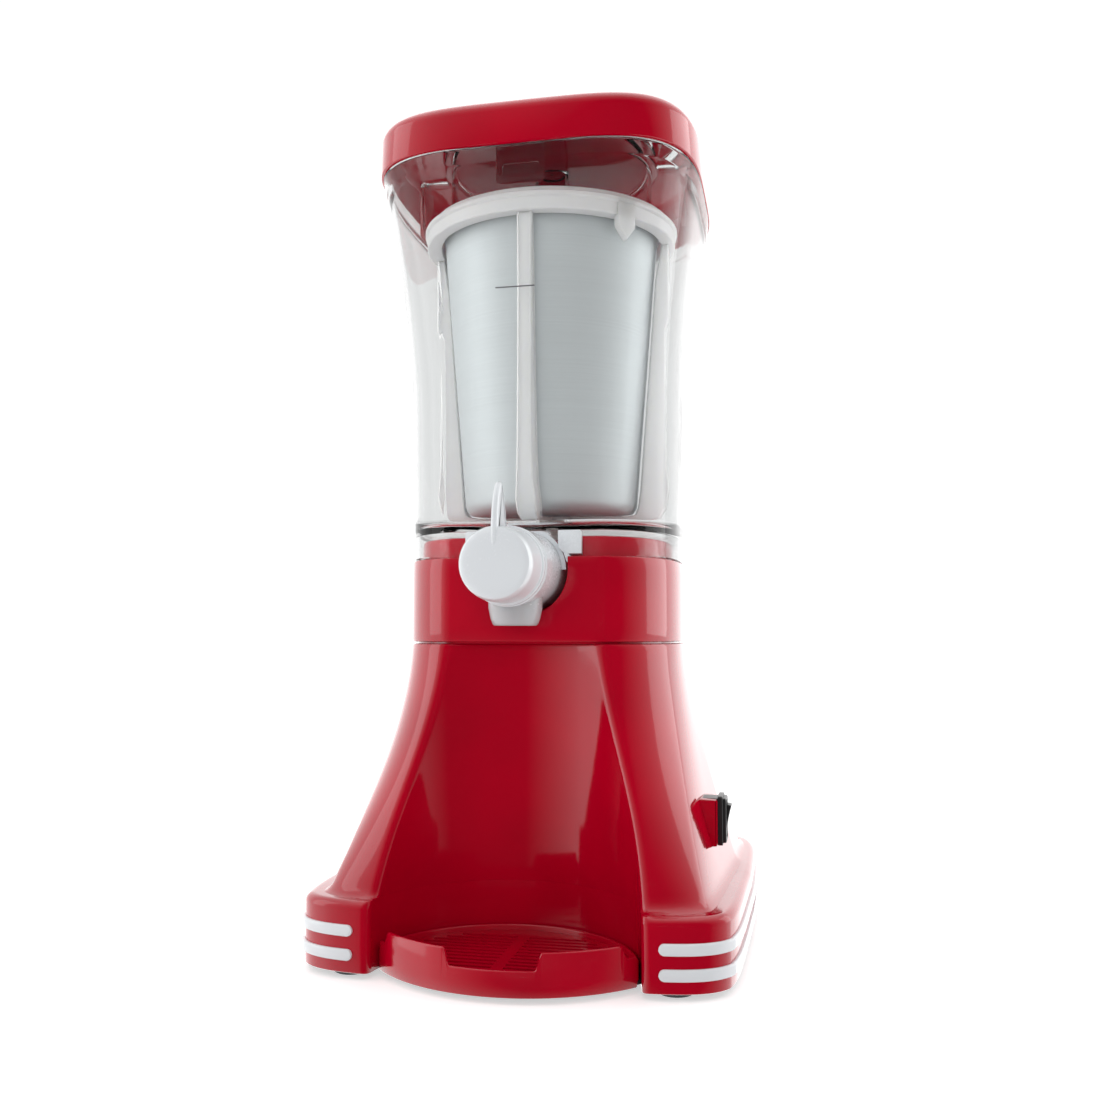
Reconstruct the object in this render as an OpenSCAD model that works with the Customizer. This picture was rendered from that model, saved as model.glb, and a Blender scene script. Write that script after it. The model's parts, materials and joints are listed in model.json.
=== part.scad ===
// Retro slush drink machine: a clear tank with a tap and a still ice canister, a turning
// mixing frame round the canister, and a flared base that holds the motor and the gears.
// Millimetres, +Z up. The origin is under the middle of the machine, on the table.

/* [Outline] */
// Height of the machine from the table to the top of the lid
total_h = 446; // [444:0.5:447]
// Half width of the plinth at its widest
plinth_half_w = 112; // [110:0.5:114]
// Distance from the drive axis forward to the drip tray's front
tray_reach = 134; // [133:0.5:135]
// Distance from the drive axis back to the plinth's rear
rear_reach = 115; // [114:0.5:117]
// Height of the top of the plinth
plinth_top = 37; // [36:0.5:38]
// Height of the top of the flared housing
seam_z = 160.8; // [160:0.2:161.4]
// Half width of the neck and of the top of the flared housing
neck_half_w = 75.5; // [75:0.1:76]
// Distance from the drive axis forward to the neck's flat front
neck_flat = 73.6; // [73.4:0.1:74]
// Distance from the drive axis back to the neck's rear
neck_back = 91; // [90:0.5:92]

/* [Cup bay] */
// Radius of the concave bay in the front of the base
bay_r = 66; // [65.5:0.25:66.5]
// Distance of the bay's centre in front of the drive axis, at the seam
bay_centre_top = 126; // [125:0.5:127]
// Distance of the bay's centre in front of the drive axis, at the plinth
bay_centre_bottom = 117; // [116.5:0.25:117.5]

/* [Tank and lid] */
// Height of the lower edge of the tank's skirt
skirt_z = 206.3; // [206:0.1:207]
// Height of the tank's floor, inside
tank_floor_z = 222.6; // [222:0.2:223.4]
// Height of the tank's rim, under the lid
rim_z = 419.5; // [419:0.5:420]
// Wall of the clear tank
tank_wall = 2.4; // [2.2:0.1:2.6]
// Half width of the lid
lid_half_w = 90.5; // [90:0.5:91.5]

/* [Canister] */
// Outer radius of the canister at its mouth
canister_top_r = 63; // [62.5:0.25:63.5]
// Outer radius of the canister at its foot
canister_foot_r = 50; // [49:0.5:51]
// Height of the canister's foot
canister_z = 231; // [230.5:0.25:232]

/* [Tap] */
// Height of the tap's axis
tap_z = 199; // [198.5:0.25:199.25]
// Radius of the tap's barrel
barrel_r = 20; // [19.5:0.25:20]
// Radius of the tap's knob at its face
knob_r = 17.5; // [17:0.25:18]
// Distance of the knob's face in front of the drive axis
knob_face = 130; // [129:0.5:131]

/* [Gears] */
// Teeth of the output gear
output_teeth = 56; // [56]
// Teeth of the idler's small gear
idler_small_teeth = 14; // [14]
// Teeth of the idler's large gear
idler_large_teeth = 60; // [60]
// Teeth of the motor's pinion
pinion_teeth = 12; // [12]
// Tooth size of the output stage
output_module = 1.1; // [1.05:0.05:1.1]
// Tooth size of the motor stage
motor_module = 0.8; // [0.75:0.05:0.8]

/* [Hidden] */
$fn = 72;
wall = 2.6;
fit = 0.06;
gap = 0.3;
drive_y = (tray_reach - rear_reach) / 2;

red = [0.72, 0.02, 0.12];
clear = [0.9, 0.94, 0.95, 0.35];
milky = [0.92, 0.94, 0.95, 0.7];
white = [0.95, 0.96, 0.97];
black = [0.08, 0.08, 0.08];
steel = [0.7, 0.71, 0.73];
brass = [0.8, 0.65, 0.3];
nylon = [0.9, 0.88, 0.8];

// ---------- outlines ----------

// Points round an outline, and across the bay
around = 72;
bay_steps = 18;

// A shape is [half width, reach forward, reach back, exponent, flat front]: a superellipse
// whose front is cut off flat
function inset_shape(s, inset) =
    [s[0] - inset, s[1] - inset, s[2] - inset, s[3], s[4] - inset];
function mixed(a, b, t) = a + (b - a) * t;
// Signed power
function spow(v, e) = sign(v) * pow(abs(v), e);
// Point of a shape at angle t
function super(s, t) = [
    s[0] * spow(cos(t), 2 / s[3]),
    max(-s[4], (s[2] - s[1]) / 2 + (s[1] + s[2]) / 2 * spow(sin(t), 2 / s[3]))
];
function outline(s) = [for (i = [0:around - 1]) super(s, i * 360 / around)];
// Ring of an outline at a height
function ring(pts, z) = [for (p = pts) [p[0], p[1], z]];
// Centre of the bay at a height: upright in the plinth, then leaning forward to the seam
function bay_y(z) = -mixed(bay_centre_bottom, bay_centre_top,
    max(0, z - plinth_top) / (seam_z - plinth_top));
// Angle at which a shape's right side meets the bay, by halving
function bay_angle(s, y, r, lo = 270, hi = 340, step = 22) =
    step == 0 ? (lo + hi) / 2 :
    let (mid = (lo + hi) / 2)
    norm(super(s, mid) - [0, y]) < r
        ? bay_angle(s, y, r, mid, hi, step - 1)
        : bay_angle(s, y, r, lo, mid, step - 1);
// Outline of a shape with the bay cut into its front
function bay_outline(s, y, r) =
    let (
        start = bay_angle(s, y, r),
        edge = super(s, start) - [0, y],
        edge_angle = atan2(edge[1], edge[0])
    )
    concat(
        [for (i = [0:around]) super(s, start + (900 - 2 * start) * i / around)],
        [for (j = [1:bay_steps - 1])
            let (q = 180 - edge_angle - (180 - 2 * edge_angle) * j / bay_steps)
            [r * cos(q), y + r * sin(q)]]
    );

neck_shape = [neck_half_w, neck_flat + 5.7, neck_back, 2.9, neck_flat];
foot_shape = [103, 107, 109, 7, 107];
plinth_shape = [plinth_half_w, 115, rear_reach, 7, 115];
// Flare of the lower housing: 0 at the seam, 1 at the plinth
flare_power = 1.45;
function flare(z) = pow(max(0, seam_z - z) / (seam_z - plinth_top), flare_power);
function housing_shape(z) = let (t = flare(z)) [
    mixed(neck_shape[0], foot_shape[0], t),
    mixed(neck_shape[1], foot_shape[1], t),
    mixed(neck_shape[2], foot_shape[2], t),
    mixed(neck_shape[3], foot_shape[3], t * t),
    mixed(neck_shape[4], foot_shape[4], t)
];
// Outline of the lower housing at a height, moved in by an inset
function housing_outline(z, inset = 0) =
    bay_outline(inset_shape(housing_shape(z), inset), bay_y(z), bay_r + inset);
function plinth_outline(inset = 0) =
    bay_outline(inset_shape(plinth_shape, inset), -bay_centre_bottom, bay_r + inset);
function neck_outline(inset = 0) = outline(inset_shape(neck_shape, inset));

// Half width of the tank's outside at a height: nearly straight, then a flare at the top
tank_flare_z = 300;
tank_slope = 0.0225;
function tank_half_w(z) = neck_half_w - 1.1 + tank_slope * (z - skirt_z)
    + 0.0023 * pow(max(0, z - tank_flare_z), 1.75);
function tank_shape(z) =
    let (a = tank_half_w(z), t = max(0, z - tank_flare_z) / (rim_z - tank_flare_z))
    [a, mixed(a + 3.8, a, t), a + 15, mixed(2.9, 3.8, t), mixed(a - 1.8, a - 1, t)];
function tank_outline(z, inset = 0) = outline(inset_shape(tank_shape(z), inset));

// ---------- solids from rings ----------

function skin(n, j, k) =
    [for (i = [0:n - 1]) let (l = (i + 1) % n)
        each [[j * n + i, k * n + i, k * n + l], [j * n + i, k * n + l, j * n + l]]];

// Closed skin through rings; the last ring joins the first
module ring_loop(rings) {
    n = len(rings[0]);
    m = len(rings);
    polyhedron(
        points = [for (r = rings) each r],
        faces = [for (j = [0:m - 1]) each skin(n, j, (j + 1) % m)],
        convexity = 8
    );
}

// Skin through rings with a flat cap on the first and on the last
module ring_solid(rings) {
    n = len(rings[0]);
    m = len(rings);
    polyhedron(
        points = [for (r = rings) each r],
        faces = concat(
            [[for (i = [0:n - 1]) i]],
            [for (j = [0:m - 2]) each skin(n, j, j + 1)],
            [[for (i = [n - 1:-1:0]) (m - 1) * n + i]]
        ),
        convexity = 8
    );
}

module at_drive() {
    translate([0, drive_y, 0]) children();
}

module prism(pts, z0, z1) {
    translate([0, 0, z0]) linear_extrude(height = z1 - z0) polygon(pts);
}

module tube(r_out, r_in, z0, z1) {
    difference() {
        translate([0, 0, z0]) cylinder(r = r_out, h = z1 - z0);
        translate([0, 0, z0 - 1]) cylinder(r = r_in, h = z1 - z0 + 2);
    }
}

module rod(r, z0, z1) {
    translate([0, 0, z0]) cylinder(r = r, h = z1 - z0);
}

// Rod along Y from y0 to y1
module rod_y(r, y0, y1) {
    translate([0, y1, 0]) rotate([90, 0, 0]) cylinder(r = r, h = y1 - y0);
}

module box(x0, x1, y0, y1, z0, z1) {
    translate([x0, y0, z0]) cube([x1 - x0, y1 - y0, z1 - z0]);
}

// ---------- plinth, housings, base plate ----------

plate_z0 = 3.2;
plate_z1 = 5.4;
screw_places = [[-95, -88], [95, -88], [-95, 90], [95, 90]];
foot_places = [[-80, -99], [80, -99], [-82, 98], [82, 98]];
foot_r = 9;
foot_stem_r = 3;

plinth_wall_z = 3;
deck = 2.4;

module at_bay() {
    translate([0, -bay_centre_bottom, 0]) children();
}

module plinth() {
    color(red) at_drive() difference() {
        union() {
            difference() {
                union() {
                    prism(plinth_outline(), plinth_wall_z, plinth_top - 4);
                    prism(plinth_outline(0.6), plinth_top - 4, plinth_top - 2.4);
                    prism(plinth_outline(1.8), plinth_top - 2.4, plinth_top - 1);
                    prism(plinth_outline(3.4), plinth_top - 1, plinth_top);
                }
                prism(plinth_outline(wall), plinth_wall_z - 1, plinth_top - deck);
            }
            for (p = screw_places)
                translate(p) rod(4.5, plate_z1, plinth_top - deck + 0.4);
        }
        prism(housing_outline(plinth_top, 7), plinth_top - deck - 1, plinth_top + 1);
        for (p = screw_places) translate(p) rod(1.6, plate_z1 - 1, plinth_top - deck - 4);
        // The bay's wall stands on the base plate
        at_bay() intersection() {
            rod(bay_r + wall + 1, plinth_wall_z - 1, plate_z1 + 0.02);
            box(-90, 90, 8, 90, plinth_wall_z - 1, plate_z1 + 1);
        }
    }
}

housing_levels = [plinth_top + 0.02, 46, 56, 68, 82, 98, 116, 136, 152];
flange_in = 10;
flange_t = 2.4;
switch_at = [0, -30, 69];
switch_face_x = 97.5;
switch_half = [7, 12.5];

module lower_housing() {
    color(red) at_drive() difference() {
        union() {
            ring_loop(concat(
                [for (z = housing_levels) ring(housing_outline(z), z)],
                [ring(housing_outline(seam_z), seam_z)],
                [ring(housing_outline(seam_z, flange_in), seam_z)],
                [ring(housing_outline(seam_z, flange_in), seam_z - flange_t)],
                [ring(housing_outline(seam_z - flange_t, wall), seam_z - flange_t)],
                [for (i = [len(housing_levels) - 1:-1:0])
                    ring(housing_outline(housing_levels[i], wall), housing_levels[i])]
            ));
            switch_boss();
        }
        translate(switch_at)
            box(70, 110, -switch_half[0], switch_half[0], -switch_half[1], switch_half[1]);
        for (p = neck_screw_places) translate(p) rod(2, seam_z - flange_t - 1, seam_z + 1);
        translate([0, 0, cord_z]) rod_y(cord_hole_r, foot_shape[2] - 22, foot_shape[2] + 10);
    }
}

// Raised frame that gives the switch an upright face
module switch_boss() {
    half_y = switch_half[0] + 4;
    translate([0, switch_at[1] + half_y, 0]) rotate([90, 0, 0])
        linear_extrude(height = 2 * half_y)
            polygon([[86.5, 86], [switch_face_x, 82.5], [switch_face_x, 54.5], [93, 54.5]]);
}

neck_z0 = seam_z + 1;
step_in = 5.2;
step_z = skirt_z - 0.6;
deck_z = 216.5;
neck_wall = 2.4;
notch_r = 24;
coupling_well_r = 13.6;
notch_back = -43;
// Screws at four corners of the seam flange
neck_screw_places = [for (t = [38, 142, 218, 322]) super(inset_shape(neck_shape, 6.4), t)];

module neck_housing() {
    color(red) at_drive() difference() {
        union() {
            difference() {
                union() {
                    prism(neck_outline(), neck_z0, step_z);
                    prism(neck_outline(step_in), step_z - 1, deck_z);
                }
                prism(neck_outline(neck_wall), neck_z0 + neck_wall, step_z - neck_wall);
                prism(neck_outline(step_in + neck_wall), step_z - neck_wall - 1, deck_z - neck_wall);
            }
            for (p = neck_screw_places) translate(p) rod(3.8, neck_z0 + 1, neck_z0 + 11);
            for (p = gearbox_screw_places)
                translate(p) rod(4, case_top_z + cover_t, deck_z - neck_wall + 0.5);
        }
        intersection() {
            prism(neck_outline(11.5), neck_z0 - 1, neck_z0 + neck_wall + 1);
            box(-90, 90, -46, 100, neck_z0 - 2, neck_z0 + neck_wall + 2);
        }
        translate([0, 0, tap_z]) rod_y(notch_r, -90, notch_back);
        box(-notch_r, notch_r, -90, notch_back, tap_z, deck_z + 1);
        rod(coupling_well_r, deck_z - 5, deck_z + 1);
        for (p = neck_screw_places) translate(p) rod(1.62, neck_z0 - 1, neck_z0 + 9);
        for (p = gearbox_screw_places) translate(p) rod(1.47, case_top_z, gearbox_screw_top + 1);
    }
}

module base_plate() {
    vent_w = 3;
    color([0.2, 0.2, 0.21]) at_drive() difference() {
        union() {
            prism(plinth_outline(wall + gap), plate_z0, plate_z1);
            // Tongue that the drip tray rests on
            intersection() {
                at_bay() rod(bay_r + 4, plate_z0, plate_z1);
                translate([0, tray_front_r - tray_reach, 0])
                    rod(tray_front_r - tray_wall - 0.5, plate_z0, plate_z1);
            }
        }
        for (p = screw_places) translate(p) rod(1.9, plate_z0 - 1, plate_z1 + 1);
        for (p = foot_places) translate(p) rod(foot_stem_r + fit, plate_z0 - 1, plate_z1 + 1);
        for (i = [-4:4]) translate([i * 8, 15, 0])
            box(-vent_w / 2, vent_w / 2, -18, 18, plate_z0 - 1, plate_z1 + 1);
    }
}

// Pan-head screw, head down, its shank pointing up from z = 0
module screw(shank_r, length, head_r, head_h) {
    rod(shank_r, 0, length);
    rod(head_r, -head_h, 0);
}

module base_screws() {
    color(steel) at_drive() for (p = screw_places)
        translate([p[0], p[1], plate_z0]) screw(1.55, 20, 3, 1.8);
}

module neck_screws() {
    color(steel) at_drive() for (p = neck_screw_places)
        translate([p[0], p[1], seam_z - flange_t]) screw(1.6, 9, 3.2, 2.2);
}

module foot(place) {
    color([0.35, 0.36, 0.37]) at_drive() translate(place) {
        rod(foot_r, 0, plate_z0);
        rod(foot_stem_r, 0, plate_z1 + 0.2);
        rod(foot_stem_r + 1.2, plate_z1 + 0.1, plate_z1 + 2);
    }
}

// ---------- stripes, cord bush, switch ----------

stripe_h = 5.5;
stripe_proud = 1.5;
stripe_z = [11.7, 23.1];

stripe_end_x = 73.8;
// Angle at which the plinth's outline reaches a half width on the front, by halving
function stripe_angle(lo, hi, step = 20) =
    step == 0 ? lo :
    let (mid = (lo + hi) / 2)
    super(plinth_shape, mid)[0] < stripe_end_x
        ? stripe_angle(mid, hi, step - 1) : stripe_angle(lo, mid, step - 1);
stripe_from = stripe_angle(270, 340);
stripe_to = 438;

// Band along the plinth's side at a height; side is -1 on the left and 1 on the right
module stripe(side, z) {
    steps = 44;
    ts = [for (i = [0:steps]) mixed(stripe_from, stripe_to, i / steps)];
    inner = [for (t = ts) super(inset_shape(plinth_shape, -0.02), t)];
    outer = [for (i = [steps:-1:0]) super(inset_shape(plinth_shape, -stripe_proud), ts[i])];
    color(white) at_drive() on_side(side)
        prism(concat(inner, outer), z - stripe_h / 2, z + stripe_h / 2);
}

// Mirrors to the left for side -1
module on_side(side) {
    if (side > 0) children();
    else mirror([1, 0, 0]) children();
}

cord_z = 58;
cord_hole_r = 6.5;
cord_wall_y = 106;

// Rubber bush that lines the cord's hole in the rear wall
module cord_bush() {
    color(black) at_drive() translate([0, 0, cord_z]) difference() {
        union() {
            rod_y(cord_hole_r - 0.1, cord_wall_y - 14, cord_wall_y + 5);
            rod_y(cord_hole_r + 2.5, cord_wall_y + 1.5, cord_wall_y + 5);
        }
        rod_y(3.2, cord_wall_y - 20, cord_wall_y + 8);
    }
}

bezel_out = 3.2;
rocker_half = [4.6, 10];
rocker_pivot_x = switch_face_x - 1;
rocker_tilt = 10;

module switch_bezel() {
    color(black) at_drive() translate([switch_face_x, switch_at[1], switch_at[2]]) difference() {
        union() {
            box(0.05, bezel_out, -9, 9, -14, 14);
            box(-14, 1, -switch_half[0] + 0.1, switch_half[0] - 0.1,
                -switch_half[1] + 0.1, switch_half[1] - 0.1);
        }
        box(-10, 5, -rocker_half[0] - 0.4, rocker_half[0] + 0.4,
            -rocker_half[1] - 1.2, rocker_half[1] + 1.2);
        translate([-1, 0, 0]) rod_y(1.5, -6.2, 6.2);
    }
}

// Rocker at rest, with its upper half standing out
module switch_rocker() {
    color(black) at_drive() translate([rocker_pivot_x, switch_at[1], switch_at[2]])
        rotate([0, rocker_tilt, 0]) union() {
            rotate([90, 0, 0]) translate([0, 0, -rocker_half[0]])
                linear_extrude(height = 2 * rocker_half[0])
                    polygon([[-3.6, -5], [4.4, -9.6], [6.4, -9.4], [5.2, 0],
                        [6.4, 9.4], [4.4, 9.6], [-3.6, 5]]);
            rod_y(1.42, -6, 6);
        }
}

module switch_terminals() {
    color(brass) at_drive() translate([switch_face_x - 14, switch_at[1], switch_at[2]])
        for (z = [-8, 0, 8]) box(-9, -0.02, -2.4, 2.4, z - 0.4, z + 0.4);
}

// ---------- gears ----------

pressure_angle = 25;
addendum = 0.75;
dedendum = 1.1;
backlash = 0.09;

function involute(q) = tan(q) * 180 / PI - q;
// Half the angle of a tooth at a radius
function tooth_half(teeth, m, r) =
    let (base = teeth * m / 2 * cos(pressure_angle))
    90 / teeth - backlash / (teeth * m) * 180 / PI + involute(pressure_angle)
        - involute(acos(min(1, base / max(base, r))));
function polar(r, q) = [r * cos(q), r * sin(q)];
// Outline of a spur gear with one tooth on the +X axis
function gear_outline(teeth, m) =
    let (
        pitch = teeth * m / 2,
        root = pitch - dedendum * m,
        tip = pitch + addendum * m,
        low = max(root, pitch * cos(pressure_angle)),
        radii = [low, mixed(low, tip, 0.4), mixed(low, tip, 0.75), tip]
    )
    [for (k = [0:teeth - 1]) let (c = k * 360 / teeth) each concat(
        [polar(root, c - tooth_half(teeth, m, low))],
        [for (r = radii) polar(r, c - tooth_half(teeth, m, r))],
        [for (i = [3:-1:0]) polar(radii[i], c + tooth_half(teeth, m, radii[i]))],
        [polar(root, c + tooth_half(teeth, m, low))]
    )];

output_distance = (output_teeth + idler_small_teeth) * output_module / 2;
motor_distance = (idler_large_teeth + pinion_teeth) * motor_module / 2;
idler_bearing = 50;
idler_at = polar(output_distance, idler_bearing);
// The motor stands on the machine's middle plane
motor_at = [0, idler_at[1] - sqrt(pow(motor_distance, 2) - pow(idler_at[0], 2))];
motor_bearing = atan2(motor_at[1] - idler_at[1], motor_at[0] - idler_at[0]);

case_floor_z = 168;
motor_stage_z = 171;
motor_stage_h = 6;
output_stage_z = 179;
output_stage_h = 8;
case_top_z = 190;
cover_t = 2.5;
case_wall = 2.5;
output_shaft_r = 5;
idler_pin_r = 2.5;
gearbox_screw_top = 204;

// Plan of the gearbox: a lobe round each gear
module gearbox_plan(extra) {
    circle(r = output_teeth * output_module / 2 + 3 + extra);
    translate(idler_at) circle(r = idler_large_teeth * motor_module / 2 + 3 + extra);
}

gearbox_screw_places = [polar(39.5, 200), polar(39.5, 250), polar(39.5, 310), polar(39.5, 140)];

module gearbox_case() {
    color([0.55, 0.56, 0.58]) at_drive() difference() {
        union() {
            translate([0, 0, case_floor_z]) linear_extrude(height = case_top_z - case_floor_z)
                gearbox_plan(case_wall);
            for (p = gearbox_screw_places) translate(p) rod(4, case_floor_z, case_top_z);
        }
        translate([0, 0, case_floor_z + case_wall]) linear_extrude(height = case_top_z)
            gearbox_plan(0);
        translate(motor_at) rod(7, case_floor_z - 1, case_floor_z + case_wall + 1);
        rod(output_shaft_r + fit, case_floor_z - 1, case_floor_z + case_wall + 1);
        translate(idler_at) rod(idler_pin_r, case_floor_z - 1, case_floor_z + case_wall + 1);
        for (p = gearbox_screw_places) translate(p) rod(1.9, case_floor_z - 1, case_top_z + 1);
        for (p = motor_bolt_places)
            translate(p) rod(2.1, case_floor_z - 1, case_floor_z + case_wall + 1);
    }
}

module gearbox_cover() {
    color([0.55, 0.56, 0.58]) at_drive() difference() {
        union() {
            translate([0, 0, case_top_z]) linear_extrude(height = cover_t) gearbox_plan(case_wall);
            for (p = gearbox_screw_places) translate(p) rod(4, case_top_z, case_top_z + cover_t);
            rod(11, case_top_z, case_top_z + 7);
        }
        rod(8, case_top_z - 1, case_top_z + 8);
        translate(idler_at) rod(idler_pin_r, case_top_z - 1, case_top_z + cover_t + 1);
        for (p = gearbox_screw_places) translate(p) rod(1.9, case_top_z - 1, case_top_z + cover_t + 1);
    }
}

// Long screws that hold the gearbox up against the neck's posts
module gearbox_screws() {
    color(steel) at_drive() for (p = gearbox_screw_places)
        translate([p[0], p[1], case_floor_z])
            screw(1.45, gearbox_screw_top - case_floor_z, 3.2, 2);
}

module idler_pin() {
    color(steel) at_drive() translate(idler_at) rod(idler_pin_r - 0.02, case_floor_z, case_top_z + 1.5);
}

module idler_gear() {
    color(nylon) at_drive() translate(idler_at) difference() {
        union() {
            translate([0, 0, motor_stage_z]) linear_extrude(height = motor_stage_h)
                rotate(motor_bearing) polygon(gear_outline(idler_large_teeth, motor_module));
            rod(6, motor_stage_z, output_stage_z);
            translate([0, 0, motor_stage_z + motor_stage_h])
                linear_extrude(height = output_stage_z + output_stage_h - motor_stage_z - motor_stage_h)
                    rotate(idler_bearing + 180)
                        polygon(gear_outline(idler_small_teeth, output_module));
        }
        rod(idler_pin_r + fit, motor_stage_z - 1, output_stage_z + output_stage_h + 1);
    }
}

module output_gear() {
    color(nylon) at_drive() difference() {
        union() {
            translate([0, 0, output_stage_z]) linear_extrude(height = output_stage_h)
                rotate(idler_bearing + 180 / output_teeth)
                    polygon(gear_outline(output_teeth, output_module));
            rod(9, output_stage_z - 1.5, output_stage_z + output_stage_h + 1.5);
        }
        rod(output_shaft_r, output_stage_z - 3, output_stage_z + output_stage_h + 3);
    }
}

coupling_z0 = 204.5;
coupling_z1 = 216;
coupling_r = 12.4;
socket_af = 13;
socket_z = 208;
output_shaft_top = 207.5;

module output_shaft() {
    color(steel) at_drive() rod(output_shaft_r - 0.01, case_floor_z + 0.2, output_shaft_top);
}

module output_bush() {
    color(brass) at_drive() {
        tube(7.98, output_shaft_r + fit, case_top_z + 0.5, case_top_z + 9);
        tube(10, output_shaft_r + fit, case_top_z + 7.1, case_top_z + 9);
    }
}

// Cup with a six-sided socket that turns the tank's spindle
module drive_coupling() {
    color(white) at_drive() difference() {
        rod(coupling_r, coupling_z0, coupling_z1);
        rod(output_shaft_r, coupling_z0 - 1, output_shaft_top);
        translate([0, 0, socket_z]) cylinder(d = socket_af / cos(30), h = 10, $fn = 6);
    }
}

// ---------- motor ----------

stack_z = [116, 138];
stack_half = [32, 26];
bore_r = 15.4;
rotor_r = 15;
motor_shaft_r = 2.5;
bracket_z = [105, 146];
motor_bolt_places = [motor_at + [-24, -19], motor_at + [24, -19]];
pinion_z0 = motor_stage_z - 1.5;

module motor_stack() {
    color([0.4, 0.41, 0.43]) at_drive() translate(motor_at) difference() {
        box(-stack_half[0], stack_half[0], -stack_half[1], stack_half[1] + 18, stack_z[0], stack_z[1]);
        rod(bore_r, stack_z[0] - 1, stack_z[1] + 1);
        box(-20, 20, 21, 35, stack_z[0] - 1, stack_z[1] + 1);
        for (s = [-1, 1]) translate([s * 24, -19, 0]) rod(2.1, stack_z[0] - 1, stack_z[1] + 1);
    }
}

// Winding on the stack's rear limb
module motor_coil() {
    color([0.85, 0.65, 0.15]) at_drive() translate([motor_at[0], motor_at[1] + 39.5, 0]) difference() {
        box(-19.6, 19.6, -14, 14, stack_z[0] - 9, stack_z[1] + 9);
        box(-21, 21, -4.6, 4.6, stack_z[0] - 0.1, stack_z[1] + 0.1);
    }
}

module motor_bracket(z0) {
    color(steel) at_drive() translate(motor_at) difference() {
        union() {
            box(-29, 29, -24, 12, z0, z0 + 2.5);
            rod(8, z0 - 1.5, z0 + 5);
        }
        rod(motor_shaft_r + fit, z0 - 3, z0 + 8);
        for (s = [-1, 1]) translate([s * 24, -19, 0]) rod(2.1, z0 - 1, z0 + 4);
    }
}

// Two long bolts that hang the motor from the gearbox
module motor_bolts() {
    color(steel) at_drive() for (p = motor_bolt_places) translate([p[0], p[1], 0]) {
        rod(1.95, bracket_z[0] - 3, case_floor_z + case_wall);
        rod(3.8, bracket_z[0] - 3, bracket_z[0] - 0.02);
        tube(3.4, 2, bracket_z[0] + 2.52, stack_z[0] - 0.02);
        tube(3.4, 2, stack_z[1] + 0.02, bracket_z[1] - 0.02);
        tube(3.4, 2, bracket_z[1] + 2.52, case_floor_z - 0.02);
    }
}

module rotor() {
    color([0.5, 0.5, 0.52]) at_drive() translate(motor_at)
        tube(rotor_r, motor_shaft_r, stack_z[0] - 1, stack_z[1] + 1);
}

module motor_shaft() {
    color(steel) at_drive() translate(motor_at) rod(motor_shaft_r - 0.01, 84, pinion_z0 + 8);
}

module motor_pinion() {
    color(brass) at_drive() translate(motor_at) difference() {
        translate([0, 0, pinion_z0]) linear_extrude(height = 7.5)
            rotate(motor_bearing + 180 + 180 / pinion_teeth)
                polygon(gear_outline(pinion_teeth, motor_module));
        rod(motor_shaft_r, pinion_z0 - 1, pinion_z0 + 9);
    }
}

fan_r = 27;
fan_z = [86, 98];
fan_blades = 7;

module cooling_fan() {
    color(white) at_drive() translate(motor_at) {
        tube(7, motor_shaft_r, fan_z[0], fan_z[1]);
        for (i = [0:fan_blades - 1]) rotate([0, 0, i * 360 / fan_blades])
            translate([6.5, 0, (fan_z[0] + fan_z[1]) / 2]) rotate([38, 0, 0])
                translate([0, -7, -0.6]) cube([fan_r - 6.5, 14, 1.2]);
    }
}

// ---------- tank ----------

tank_levels = [206.3, 222, 245, 270, 300, 320, 340, 358, 374, 390, 402, 408];
floor_t = 3;
nozzle_y = -57;
nozzle_r = 6.4;
nozzle_bore_r = 4.6;
nozzle_z = 217.4;
rim_flange_z = 411;
rim_flange_out = 0.8;
arch_r = 22;
shaft_bore_r = 7.5;

module tank() {
    color(clear) at_drive() union() {
        difference() {
            ring_loop(concat(
                [for (z = tank_levels) ring(tank_outline(z), z)],
                [for (z = [rim_flange_z, rim_z]) ring(tank_outline(z, -rim_flange_out), z)],
                [for (z = [rim_z]) ring(tank_outline(z, tank_wall), z)],
                [for (i = [len(tank_levels) - 1:-1:0])
                    ring(tank_outline(tank_levels[i], tank_wall), tank_levels[i])]
            ));
            translate([0, 0, tap_z]) rod_y(arch_r, -90, -50);
        }
        difference() {
            union() {
                prism(tank_outline(tank_floor_z, tank_wall - 0.5), tank_floor_z - floor_t, tank_floor_z);
                rod(shaft_bore_r + 3.5, tank_floor_z - floor_t, tank_floor_z + 1.2);
                translate([0, nozzle_y, 0]) rod(nozzle_r, nozzle_z, tank_floor_z - 1);
            }
            rod(shaft_bore_r, tank_floor_z - floor_t - 1, tank_floor_z + 3);
            translate([0, nozzle_y, 0]) rod(nozzle_bore_r, nozzle_z - 1, tank_floor_z + 1);
        }
    }
}

spindle_r = 4;
spindle_z = [209.5, 229];

module shaft_bush() {
    color(nylon) at_drive() {
        tube(shaft_bore_r - 0.02, spindle_r + fit, tank_floor_z - floor_t - 0.6, tank_floor_z + 1.6);
        tube(shaft_bore_r + 2.6, spindle_r + fit, tank_floor_z - floor_t - 1.4, tank_floor_z - floor_t - 0.02);
    }
}

module tank_spindle() {
    color(steel) at_drive() rod(spindle_r - 0.01, spindle_z[0], spindle_z[1]);
}

module driven_coupling() {
    color(white) at_drive() difference() {
        translate([0, 0, socket_z + 0.8])
            cylinder(d = (socket_af - 0.6) / cos(30), h = 8.6, $fn = 6);
        rod(spindle_r, socket_z + 1.4, socket_z + 12);
    }
}

// ---------- mixing frame ----------

hub_z = [225, 229.6];
hub_r = 12;
ring_z = [390, 403];
ring_in_r = 65.8;
ring_out_r = 73.6;
vane_t = 7;
vane_out_r = 70.4;
arm_count = 4;

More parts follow.
